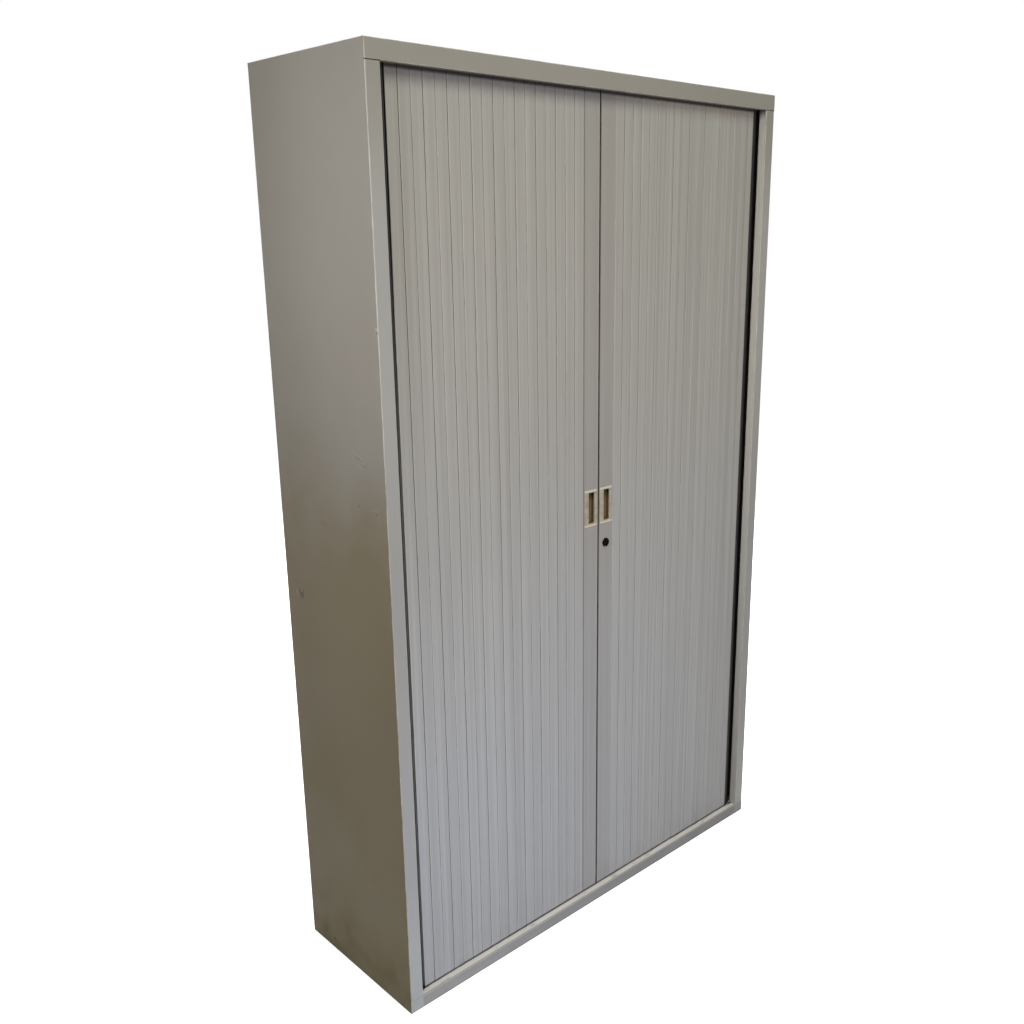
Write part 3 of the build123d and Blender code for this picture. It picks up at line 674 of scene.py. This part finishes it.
# Tints by height on the slats and rails: partly ageing, partly painted light, warm at the top and cool
# at the foot.
slat_tints = {"Aged_and_warm_light": (1.0, 0.98, 0.955, 1), "Fresh_and_cool_light": (0.985, 1.0, 1.05, 1)}
# Dirt and painted shade beside the slat grooves.
slat_groove_dirt_and_shade = (104, 97, 84)
slat_tone_range = 0.035
darkest_slat = 0.98
# Colour of the painted highlight on the slat edges.
slat_edge_highlight = (192, 189, 181)
# Painted shadow: bluish under the fascia, black along its edge and round the corners.
under_fascia_shadow = (92, 96, 112)
corner_shadow_black = (16, 15, 14)
# Colour of the dark line just above the sill.
sill_line_dark = (58, 48, 40)
sill_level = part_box("bottom_track_front")[1].z
slat_low, slat_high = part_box("right_starter_slat")
slat_width = slat_high.x - slat_low.x
slat_thick = slat_high.y - slat_low.y
pair_low, pair_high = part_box("right_slat_pair_1")
joint_gap = pair_high.x - pair_low.x - 2 * slat_width
slat_pitch = slat_width + joint_gap
curtain_start = slat_low.x - joint_gap / 2
path_y = (slat_low.y + slat_high.y) / 2
turn_start = 0.540
turn_radius = 0.045
slat_crown = 0.00022
crown_cuts = (-0.3, -0.15, 0.0, 0.15, 0.3)
front_round = 0.0009
back_taper = 0.0018
web_depth = 0.0011
web_thick = 0.0016
web_overlap = 0.0006

# Every slat stands askew by a small angle of its own, which goes by its number.
slat_askew = math.radians(0.30)
askew_step = 2.4
left_askew_start = 40

# Each kind of dirt, painted shadow and painted highlight on the slats: where it starts and
# where it is full, and for most of them the strength at both.
shadow_below_fascia = (0.042, 0.008, 0.0, 0.5)
deep_shadow_below_fascia = (0.009, 0.003, 0.0, 0.95)
dark_line_above_sill = (0.0048, 0.0018, 0.0, 0.85)
shadow_across = (0.35, -0.1)
left_turn_start = turn_start + 0.0055
corner_fade = 0.0025
edge_highlight_near = (0.0004, 0.0012)
edge_highlight_far = (0.0040, 0.0018)
groove_dirt_and_shade_reach = (0.0013, 0.0005)
left_lean = (1.75, 1.25, 0.0, 0.0032)
streaks_across = (0.1, 0.4, 0.34, 0.52)
groove_dirt_and_shade_across = (0.0, 0.3, 0.5, 0.2)


def make_streaks():
    """Fine lines from end to end of an extrusion, centred on one."""
    takes = {"Place": "Vector", "Strength": "Float"}
    tree, given, result = start_effect("extrusion_streaks", takes, {"Factor": "Float"})
    fine = noise(tree, given["Place"], 1.0, 3.0, 0.75, (330.0, 60.0, 1.6))
    wide = noise(tree, given["Place"], 1.0, 2.0, 0.6, (95.0, 20.0, 0.5))
    both = maths(tree, "SUBTRACT", maths(tree, "ADD", fine, wide), 1.0)
    join(tree, maths(tree, "MULTIPLY_ADD", both, given["Strength"], 1.0), result["Factor"])
    return tree


def make_curtain_shadow_and_dirt():
    """Painted shadow under the fascia and round the corners, with some dirt there, and a dark line just
    above the sill.
    """
    takes = {"Place": "Vector", "Colour": "Color"}
    tree, given, result = start_effect("curtain_shadow_and_dirt", takes, {"Colour": "Color"})
    x, _, z = split(tree, given["Place"])
    uneven = noise(tree, given["Place"], 60.0, 3.0)
    # Painted shadow under the fascia: a bluish band and a dark line along its edge.
    below = maths(tree, "SUBTRACT", fascia_edge, z)
    ragged = maths(tree, "MULTIPLY_ADD", uneven, -0.014, maths(tree, "ADD", below, 0.007))
    fascia_shade = times(tree, ramp(tree, ragged, *shadow_below_fascia), ramp(tree, x, *shadow_across))
    colour = lay(tree, given["Colour"], under_fascia_shadow, fascia_shade)
    colour = lay(tree, colour, corner_shadow_black, ramp(tree, below, *deep_shadow_below_fascia))
    # A dark line just above the sill.
    above = maths(tree, "SUBTRACT", z, sill_level)
    colour = lay(tree, colour, sill_line_dark, ramp(tree, above, *dark_line_above_sill))
    # Painted shade, with some dirt, where the slats turn round the corners.
    corner = ramp(tree, x, turn_start, turn_start + corner_fade)
    drawn_in = maths(tree, "ADD", x, ramp(tree, z, *left_lean))
    left_corner = ramp(tree, drawn_in, -left_turn_start, -left_turn_start - corner_fade)
    corner = maths(tree, "MAXIMUM", corner, left_corner)
    colour = lay(tree, colour, corner_shadow_black, corner, 0.99)
    join(tree, colour, result["Colour"])
    return tree


streaks = make_streaks()
curtain_shadow_and_dirt = make_curtain_shadow_and_dirt()


def slat_plastic():
    """Aged grey plastic: streaked, each slat its own tone, with dirt and painted shade beside the
    grooves and a painted highlight on their edges.
    """
    material, tree, place, surface = start_finish("slat_grey")
    x = split(tree, place)[0]
    out = maths(tree, "SUBTRACT", maths(tree, "ABSOLUTE", x), curtain_start)
    count = maths(tree, "DIVIDE", out, slat_pitch)
    number = maths(tree, "FLOOR", count)
    spread = maths(tree, "MULTIPLY_ADD", maths(tree, "SIGN", x), 31.0, number)
    own = add(tree, "TexWhiteNoise", {"W": spread}, noise_dimensions="1D").outputs[0]
    own = maths(tree, "MULTIPLY_ADD", own, slat_tone_range, darkest_slat)
    base = effect(tree, ageing_and_light_tint, Place=place, Colour=tone(*slat_grey), **slat_tints)[0]
    streaky = ramp(tree, x, *streaks_across)
    lines = effect(tree, streaks, Place=place, Strength=streaky)[0]
    even = effect(tree, mottle, Place=place, Strength=0.07)[0]
    factor = times(tree, times(tree, lines, even), own)
    colour = vary(tree, base, factor)
    nearest = maths(tree, "ROUND", count)
    off = times(tree, maths(tree, "SUBTRACT", count, nearest), slat_pitch)
    right = times(tree, off, maths(tree, "SIGN", x))
    # A painted highlight on the slat edge beside each groove.
    edge_highlight = times(tree, ramp(tree, right, *edge_highlight_near), ramp(tree, right, *edge_highlight_far))
    patchy = ramp(tree, noise(tree, place, 1.0, 3.0, 0.6, (36.0, 36.0, 3.0)), 0.3, 0.7)
    edge_highlight = times(tree, edge_highlight, patchy)
    colour = lay(tree, colour, slat_edge_highlight, edge_highlight, 0.5)
    # Dirt and painted shade beside the grooves, weaker on the right door.
    close = ramp(tree, maths(tree, "ABSOLUTE", off), *groove_dirt_and_shade_reach)
    packed = ramp(tree, noise(tree, place, 1.0, 5.0, 0.7, (40.0, 40.0, 22.0)), 0.35, 0.7)
    groove_dirt_and_shade_mask = times(tree, close, packed)
    groove_dirt_and_shade_mask = times(tree, groove_dirt_and_shade_mask, ramp(tree, x, *groove_dirt_and_shade_across))
    colour = lay(tree, colour, slat_groove_dirt_and_shade, groove_dirt_and_shade_mask)
    soil = effect(tree, floor_soil, Place=place, Reach=0.12)[0]
    colour = lay(tree, colour, soil_brown, soil, 0.25)
    colour = effect(tree, curtain_shadow_and_dirt, Place=place, Colour=colour)[0]
    rough = ramp(tree, lines, 0.9, 1.1, 0.46, 0.56)
    finish_surface(tree, surface, colour, rough, lines, 0.00025, gloss=0.3)
    return material


plastic = slat_plastic()
for hand in ("left", "right"):
    give_finish(f"{hand}_tail_slats", plastic)


def bevel(mesh, parts, offset, segments, affect="EDGES"):
    """Rounds edges or corners of a mesh under construction."""
    bmesh.ops.bevel(
        mesh,
        geom=parts,
        offset=offset,
        offset_type="OFFSET",
        segments=segments,
        profile=0.5,
        affect=affect,
        material=-1,
    )


def is_upright(edge):
    """Whether an edge runs from end to end of a slat."""
    return abs(edge.verts[0].co.z - edge.verts[1].co.z) > slat_high.z / 2


def add_slat(mesh, along, number):
    """One upright slat: crowned face, rounded front edges and a tapered back."""
    before = set(mesh.verts)
    cube = bmesh.ops.create_cube(mesh, size=1.0)["verts"]
    bmesh.ops.scale(mesh, vec=(slat_width, slat_thick, slat_high.z - slat_low.z), verts=cube)
    upright = {e for v in cube for e in v.link_edges if is_upright(e)}
    bevel(mesh, [e for e in upright if e.verts[0].co.y < 0], front_round, 3)
    upright = [e for e in mesh.edges if is_upright(e) and not set(e.verts) & before]
    bevel(mesh, [e for e in upright if min(v.co.y for v in e.verts) > 0], back_taper, 1)
    for share in crown_cuts:
        own = [v for v in mesh.verts if v not in before]
        edges = list({e for v in own for e in v.link_edges})
        faces = list({f for v in own for f in v.link_faces})
        middle = (share * slat_width, 0, 0)
        bmesh.ops.bisect_plane(mesh, geom=own + edges + faces, plane_co=middle, plane_no=(1, 0, 0))
    own = [v for v in mesh.verts if v not in before]
    for v in own:
        if v.co.y < 0:
            v.co.y += slat_crown * (2 * v.co.x / slat_width) ** 2
    place = path_point(along + joint_gap / 2)
    far = path_point(along + joint_gap / 2 + slat_width)
    way = math.atan2(far[1] - place[1], far[0] - place[0])
    askew = slat_askew * math.sin(askew_step * number)
    middle = ((place[0] + far[0]) / 2, (place[1] + far[1]) / 2, (slat_low.z + slat_high.z) / 2)
    bmesh.ops.rotate(mesh, verts=own, cent=(0, 0, 0), matrix=Matrix.Rotation(way + askew, 3, "Z"))
    bmesh.ops.translate(mesh, verts=own, vec=middle)


def path_point(along):
    """Where the middle of the curtain runs, in plan, on the right."""
    if along <= turn_start:
        return along, path_y
    angle = (along - turn_start) / turn_radius
    return turn_start + turn_radius * math.sin(angle), path_y + turn_radius * (1 - math.cos(angle))


def add_web(mesh, along):
    """The soft strip that joins the two slats of a pair."""
    cube = bmesh.ops.create_cube(mesh, size=1.0)["verts"]
    bmesh.ops.scale(mesh, vec=(joint_gap + web_overlap, web_thick, slat_high.z - slat_low.z), verts=cube)
    y = slat_low.y + web_depth + web_thick / 2
    bmesh.ops.translate(mesh, verts=cube, vec=(along, y, (slat_low.z + slat_high.z) / 2))


def finish_mesh(mesh, name, material, mirrored=False):
    """Turns a mesh under construction into a piece with its finish."""
    if mirrored:
        bmesh.ops.scale(mesh, vec=(-1, 1, 1), verts=mesh.verts)
    bmesh.ops.recalc_face_normals(mesh, faces=mesh.faces)
    data = bpy.data.meshes.new(name)
    mesh.to_mesh(data)
    mesh.free()
    data.materials.append(material)
    piece = bpy.data.objects.new(name, data)
    scene.collection.objects.link(piece)
    return piece


def hang_slats(hand, node, numbers):
    """Builds the slats of one node and hangs them on the carcass in its place."""
    mesh = bmesh.new()
    for number in numbers:
        order = number if hand == "right" else number + left_askew_start
        add_slat(mesh, curtain_start + number * slat_pitch, order)
    if len(numbers) == 2:
        add_web(mesh, curtain_start + numbers[1] * slat_pitch)
    piece = finish_mesh(mesh, f"{node}_front", plastic, hand == "left")
    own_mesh(piece)
    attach(piece, "carcass")
    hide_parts(node)


pair_count = sum(1 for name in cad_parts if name.startswith("right_slat_pair_"))
for hand in ("left", "right"):
    hang_slats(hand, f"{hand}_starter_slat", (0,))
    for pair in range(1, pair_count + 1):
        hang_slats(hand, f"{hand}_slat_pair_{pair}", (2 * pair - 1, 2 * pair))
    hang_slats(hand, f"{hand}_corner_slat", (2 * pair_count + 1,))


# ------------------------------------------------------------------ lead rails
# The wide smooth uprights where the roll fronts meet: hollow extrusions coated to match
# the slats, with handled, slightly yellowed paint, a painted highlight along the edges and
# painted shade at the gap.

lead_grey = (154, 151, 147)
# Painted shade in the gaps beside the rails.
gap_shadow = (40, 36, 31)
hand_grease = (112, 102, 84)
nylon_milky = (214, 210, 200)
nylon_dull = (170, 164, 150)
edge_highlight_width = 0.0018
grease_reach = (0.28, 0.04)
grease_drop = 0.02
rail_low, rail_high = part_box("right_lead_rail")
pull_low, pull_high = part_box("right_handle_cup")
pull_height = (pull_low.z + pull_high.z) / 2


def lead_rail_coat():
    """Smooth coat with hand grease round the pull, a painted highlight on the edges and painted shade in
    the gaps.
    """
    material, tree, place, surface = start_finish("lead_rail_coat")
    x, y, z = split(tree, place)
    base = effect(tree, ageing_and_light_tint, Place=place, Colour=tone(*lead_grey), **slat_tints)[0]
    drawn = effect(tree, streaks, Place=place, Strength=0.22)[0]
    even = times(tree, effect(tree, mottle, Place=place, Strength=0.09)[0], drawn)
    colour = vary(tree, base, even)
    apart = far_from(tree, z, pull_height - grease_drop)
    blotches = noise(tree, place, 30.0, 5.0, 0.65)
    handled = times(tree, ramp(tree, apart, *grease_reach), blotches)
    colour = lay(tree, colour, hand_grease, handled, 0.22)
    aside = maths(tree, "ABSOLUTE", x)
    # A painted highlight along both edges of each rail.
    for edge in (rail_low.x, rail_high.x):
        apart = far_from(tree, aside, edge)
        line = effect(tree, highlight_line, Place=place, Distance=apart, Width=edge_highlight_width)[0]
        colour = lay(tree, colour, rubbed_paint_and_highlight, line, 0.6)
    # Painted shade next to the left slats, inside the meeting gap and on the right rail's lapped edge.
    tucked = ramp(tree, x, 0.0024 - rail_high.x, 0.0010 - rail_high.x)
    colour = lay(tree, colour, gap_shadow, tucked, 0.6)
    meeting = ramp(tree, aside, rail_low.x + 0.0011, rail_low.x + 0.0005)
    inside_gap = ramp(tree, y, rail_low.y + 0.0003, rail_low.y + 0.0012)
    colour = lay(tree, colour, gap_shadow, meeting, inside_gap)
    lap = ramp(tree, x, rail_low.x + 0.0026, rail_low.x + 0.0016)
    lap = times(tree, lap, maths(tree, "GREATER_THAN", x, 0.0))
    colour = lay(tree, colour, gap_shadow, lap, 0.8)
    soil = effect(tree, floor_soil, Place=place, Reach=0.12)[0]
    colour = lay(tree, colour, soil_brown, soil, 0.25)
    colour = effect(tree, curtain_shadow_and_dirt, Place=place, Colour=colour)[0]
    height = effect(tree, orange_peel, Place=place, Waves=0.6)[0]
    rough = maths(tree, "MULTIPLY_ADD", handled, -0.12, 0.5)
    finish_surface(tree, surface, colour, rough, height, 0.0003, gloss=0.3)
    return material


lead_coat = lead_rail_coat()
for hand in ("left", "right"):
    give_finish(f"{hand}_lead_rail", lead_coat)


def nylon():
    """Milky nylon, dulled by running in the groove."""
    material, tree, place, surface = start_finish("shoe_nylon")
    rubbed = ramp(tree, noise(tree, place, 1.0, 4.0, 0.6, (60.0, 60.0, 400.0)), 0.3, 0.7)
    colour = lay(tree, tone(*nylon_milky), nylon_dull, rubbed)
    surface.inputs["Subsurface Weight"].default_value = 0.05
    finish_surface(tree, surface, colour, ramp(tree, rubbed, 0, 1, 0.35, 0.55), rubbed, 0.0001)
    return material


shoe = nylon()
for hand in ("left", "right"):
    give_finish(f"{hand}_lead_shoes", shoe)


# ------------------------------------------------------------------ flush pulls
# One moulded cream cup snapped into each lead rail: a thin plate with rounded corners
# round a deep pocket for the fingertips, brown inside with old dirt and painted shade,
# darkest in a painted shadow under the top edge.

pull_cream = (206, 197, 178)
# Hand soil with painted shade on the plate beside the pocket; dirt with painted shade in the pocket, and
# a painted shadow under its top.
pull_soiled_and_shaded = (150, 139, 122)
pull_pocket_dirt_and_shade = (98, 81, 53)
pull_pocket_top_shadow = (28, 22, 15)
plate_thick = 0.0015
pocket_width = 0.024
pocket_height = 0.076
cup_wall = 0.0015
cup_corner = 0.0020
pocket_draft = 0.0014
lip_slope = 0.0060
lip_drop = 0.0012
pocket_aside = 0.0026


def pull_plastic():
    """Cream plastic with hand soil and painted shade beside the pocket, darkening into it with dirt and
    painted shade, most of all in a painted shadow under its top edge.
    """
    material, tree, place, surface = start_finish("pull_cream")
    _, y, z = split(tree, place)
    into = ramp(tree, y, pull_low.y + lip_drop + 0.0004, pull_low.y + lip_drop + 0.0030)
    grain = noise(tree, place, 220.0, 4.0, 0.65)
    touched = ramp(tree, noise(tree, place, 70.0, 4.0, 0.6), 0.3, 0.75)
    above = far_from(tree, z, pull_height)
    sides = ramp(tree, above, pocket_height / 2 + 0.003, pocket_height / 2 - 0.001, 0.05, 1.0)
    # The plate beside the pocket: hand soil and painted shade.
    held = times(tree, sides, ramp(tree, touched, 0, 1, 0.7, 1.0))
    colour = lay(tree, tone(*pull_cream), pull_soiled_and_shaded, held)
    upper = ramp(tree, z, pull_height + 0.010, pull_height + pocket_height / 2 - 0.004)
    brown = lay(tree, tone(*pull_pocket_dirt_and_shade), pull_pocket_top_shadow, upper)
    colour = mix(tree, into, colour, brown)
    rough = ramp(tree, touched, 0, 1, 0.38, 0.6)
    finish_surface(tree, surface, colour, rough, grain, 0.00008, gloss=0.35)
    return material


pull_finish = pull_plastic()


def rounded_plate(mesh, middle, wide, tall, radius, y):
    """A flat rounded face, upright and facing the front."""
    verts = bmesh.ops.create_grid(mesh, x_segments=1, y_segments=1, size=0.5)["verts"]
    bmesh.ops.rotate(mesh, verts=verts, cent=(0, 0, 0), matrix=Matrix.Rotation(math.pi / 2, 3, "X"))
    bmesh.ops.scale(mesh, vec=(wide, 1, tall), verts=verts)
    bmesh.ops.translate(mesh, verts=verts, vec=(middle.x, y, middle.z))
    bevel(mesh, verts, radius, 5, "VERTICES")


def draw_on(mesh, loop, middle, x_share, z_share, forward, sideways):
    """Extrudes an open loop of edges, resizes it about its middle and moves it."""
    made = bmesh.ops.extrude_edge_only(mesh, edges=loop)["geom"]
    verts = {part for part in made if isinstance(part, bmesh.types.BMVert)}
    space = Matrix.Translation(-middle)
    bmesh.ops.scale(mesh, vec=(x_share, 1, z_share), space=space, verts=list(verts))
    bmesh.ops.translate(mesh, verts=list(verts), vec=(sideways, forward, 0))
    edges = [part for part in made if isinstance(part, bmesh.types.BMEdge)]
    return [edge for edge in edges if set(edge.verts) <= verts]


def make_pull(hand):
    """Closed cup, plate with a rolled edge, and a lipped and drafted pocket, in one skin."""
    low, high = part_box(f"{hand}_handle_cup")
    middle = Vector(((low.x + high.x) / 2, 0, (low.z + high.z) / 2))
    wide = high.x - low.x
    tall = high.z - low.z
    plate_back = low.y + plate_thick
    cup_wide = pocket_width + 2 * cup_wall
    cup_tall = pocket_height + 2 * cup_wall
    pocket_floor = high.y - cup_wall
    inner_wide = pocket_width - lip_slope
    inner_tall = pocket_height - lip_slope / 2
    drafted_wide = inner_wide - pocket_draft
    drafted_tall = inner_tall - pocket_draft
    lip_end = low.y + lip_drop
    # Width, height, depth and sideways shift of each ring, from the back of the cup over
    # the plate's edge, down the sloping lip and into the pocket.
    rings = (
        (cup_wide - 0.0016, cup_tall - 0.0016, high.y, 0),
        (cup_wide, cup_tall, high.y - 0.0008, 0),
        (cup_wide, cup_tall, plate_back, 0),
        (wide, tall, plate_back, 0),
        (wide, tall, low.y + 0.0006, 0),
        (wide - 0.0004, tall - 0.0004, low.y + 0.0002, 0),
        (wide - 0.0012, tall - 0.0012, low.y, 0),
        (pocket_width + 0.0012, pocket_height + 0.0012, low.y, 0),
        (pocket_width, pocket_height, low.y + 0.0002, 0),
        (inner_wide + 0.0008, inner_tall + 0.0008, lip_end, pocket_aside),
        (inner_wide, inner_tall, lip_end + 0.0010, pocket_aside),
        (drafted_wide, drafted_tall, pocket_floor - 0.0016, pocket_aside),
        (drafted_wide - 0.0008, drafted_tall - 0.0008, pocket_floor - 0.0004, pocket_aside),
        (drafted_wide - 0.0030, drafted_tall - 0.0030, pocket_floor, pocket_aside),
    )
    mesh = bmesh.new()
    rounded_plate(mesh, middle, rings[0][0], rings[0][1], cup_corner, rings[0][2])
    loop = list(mesh.edges)
    for ring, last in zip(rings[1:], rings):
        centre = middle + Vector((last[3], 0, 0))
        shares = (ring[0] / last[0], ring[1] / last[1])
        loop = draw_on(mesh, loop, centre, *shares, ring[2] - last[2], ring[3] - last[3])
    bmesh.ops.edgeloop_fill(mesh, edges=loop)
    piece = finish_mesh(mesh, f"{hand}_pull", pull_finish)
    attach(piece, f"{hand}_door")
    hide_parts(f"{hand}_handle_cup")


for hand in ("left", "right"):
    make_pull(hand)


# ------------------------------------------------------------------ cam lock
# A black die-cast barrel with a round-edged head, dished towards the plug, clamped in the
# right-hand lead rail just below the pull, and the turning plug with its keyway.

lock_low, lock_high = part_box("lock_barrel")
plug_low, plug_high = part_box("lock_plug")
lock_x = (lock_low.x + lock_high.x) / 2
lock_z = (lock_low.z + lock_high.z) / 2
bore_radius = (plug_high.x - plug_low.x) / 2 + 0.0001
head_radius = 0.0102
head_reach = 0.0032
barrel_radius = 0.00745
barrel_black = (4, 4, 4)
plug_black = (4, 4, 5)
head_finish = soft_black("lock_barrel_black", barrel_black, 0.35, 600.0, 0.00006, 0.02, 0.002)
plug_finish = soft_black("lock_plug_black", plug_black, 0.3, 400.0, 0.00004, 0.03, 0.002)


def make_lock_barrel():
    """Turned head and barrel: one closed ring of sections swept round the plug."""
    front = face_y - head_reach
    sections = (
        (bore_radius, lock_high.y),
        (bore_radius, front + 0.0014),
        (bore_radius + 0.0018, front + 0.0003),
        (bore_radius + 0.0024, front),
        (head_radius - 0.0009, front),
        (head_radius - 0.0002, front + 0.0004),
        (head_radius, front + 0.0010),
        (head_radius, face_y),
        (barrel_radius, face_y),
        (barrel_radius, lock_high.y),
    )
    mesh = bmesh.new()
    points = [mesh.verts.new((lock_x + radius, y, lock_z)) for radius, y in sections]
    lines = [mesh.edges.new(pair) for pair in zip(points, points[1:] + points[:1])]
    bmesh.ops.spin(
        mesh,
        geom=points + lines,
        cent=(lock_x, 0, lock_z),
        axis=(0, 1, 0),
        angle=math.tau,
        steps=48,
        use_merge=True,
    )
    piece = finish_mesh(mesh, "lock_barrel_turned", head_finish)
    piece.data.shade_smooth()
    piece.data.set_sharp_from_angle(angle=math.radians(35))
    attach(piece, "right_door")
    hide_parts("lock_barrel")


make_lock_barrel()
give_finish("lock_plug", plug_finish)


# ------------------------------------------------------------------ floor and light
# Plain pale studio floor under a white sky.  A tall soft lamp in front, a small one near
# the floor and one overhead light the doors; a soft fill and a narrow high lamp light the
# left side; a lamp behind and one at the right light the other two sides.

floor_reach = 40.0
floor_white = 0.93
floor_shadow_share = 0.9
floor_bounce = (0.10, 0.08, 0.05, 1)
sky_strength = 0.14


def sees_white(tree):
    """One for what the camera, gloss and glass see, nought for the light that falls."""
    path = add(tree, "LightPath").outputs
    seen = maths(tree, "MAXIMUM", path["Is Camera Ray"], path["Is Glossy Ray"])
    return maths(tree, "MAXIMUM", seen, path["Is Transmission Ray"])


def pale_floor():
    """White to the eye, with the cupboard's soft shadow; a duller floor for the light."""
    material = bpy.data.materials.new("studio_floor")
    material.use_nodes = True
    tree = material.node_tree
    tree.nodes.clear()
    glow = add(tree, "Emission", {"Color": (1, 1, 1, 1), "Strength": floor_white})
    cloth = add(tree, "BsdfDiffuse", {"Color": (floor_shadow_share,) * 3 + (1,)})
    shown = add(tree, "AddShader", {0: glow.outputs[0], 1: cloth.outputs[0]})
    dull = add(tree, "BsdfDiffuse", {"Color": floor_bounce})
    both = add(tree, "MixShader", {0: sees_white(tree), 1: dull.outputs[0], 2: shown.outputs[0]})
    add(tree, "OutputMaterial", {"Surface": both.outputs[0]})
    return material


mesh = bmesh.new()
bmesh.ops.create_grid(mesh, x_segments=1, y_segments=1, size=floor_reach)
floor = finish_mesh(mesh, "studio_floor", pale_floor())

world = bpy.data.worlds.new("studio_sky")
world.use_nodes = True
scene.world = world
sky = world.node_tree
sky.nodes.clear()
seen = sees_white(sky)
strength = ramp(sky, seen, 0.0, 1.0, sky_strength, 1.0)
glow = add(sky, "Background", {"Color": (1, 1, 1, 1), "Strength": strength})
add(sky, "OutputWorld", {"Surface": glow.outputs[0]})


def hang_lamp(name, place, target, size, power, colour, spread=180.0):
    """A soft rectangular lamp aimed at a point."""
    light = bpy.data.lights.new(name, "AREA")
    light.shape = "RECTANGLE"
    light.size, light.size_y = size
    light.energy = power
    light.color = colour
    light.spread = math.radians(spread)
    lamp = bpy.data.objects.new(name, light)
    aim = Vector(target) - Vector(place)
    lamp.matrix_world = Matrix.Translation(place) @ aim.to_track_quat("-Z", "Y").to_matrix().to_4x4()
    lamp.visible_camera = False
    scene.collection.objects.link(lamp)


# Place, point aimed at, width and height, watts, colour and spread of each lamp.
hang_lamp("front_lamp", (-0.35, -2.3, 1.3), (-0.1, -0.2, 0.9), (0.5, 2.4), 20.0, (1.0, 0.855, 0.77))
hang_lamp("low_lamp", (-0.5, -1.5, 0.3), (-0.5, -0.2, 0.22), (0.3, 0.3), 8.9, (0.64, 0.77, 1.0))
hang_lamp("top_lamp", (-0.1, -2.2, 4.6), (0.0, -0.2, 1.6), (0.8, 1.6), 63.5, (0.87, 1.0, 0.905))
hang_lamp("left_lamp", (-3.4, -0.9, 2.4), (-0.6, -0.25, 1.75), (0.8, 0.6), 2.6, (0.91, 0.94, 1.0), 34.0)
hang_lamp("left_fill", (-3.2, -0.15, 0.8), (-0.6, -0.1, 0.8), (1.0, 1.6), 18.7, (1.0, 0.867, 0.62))
hang_lamp("rear_lamp", (0.6, 3.4, 2.2), (0.1, 0.2, 1.0), (1.2, 2.0), 100.0, (1.0, 0.99, 0.97))
hang_lamp("right_lamp", (3.4, 0.6, 2.2), (0.6, 0.0, 1.0), (1.2, 2.0), 80.0, (1.0, 0.99, 0.97))

scene.view_settings.view_transform = "Standard"
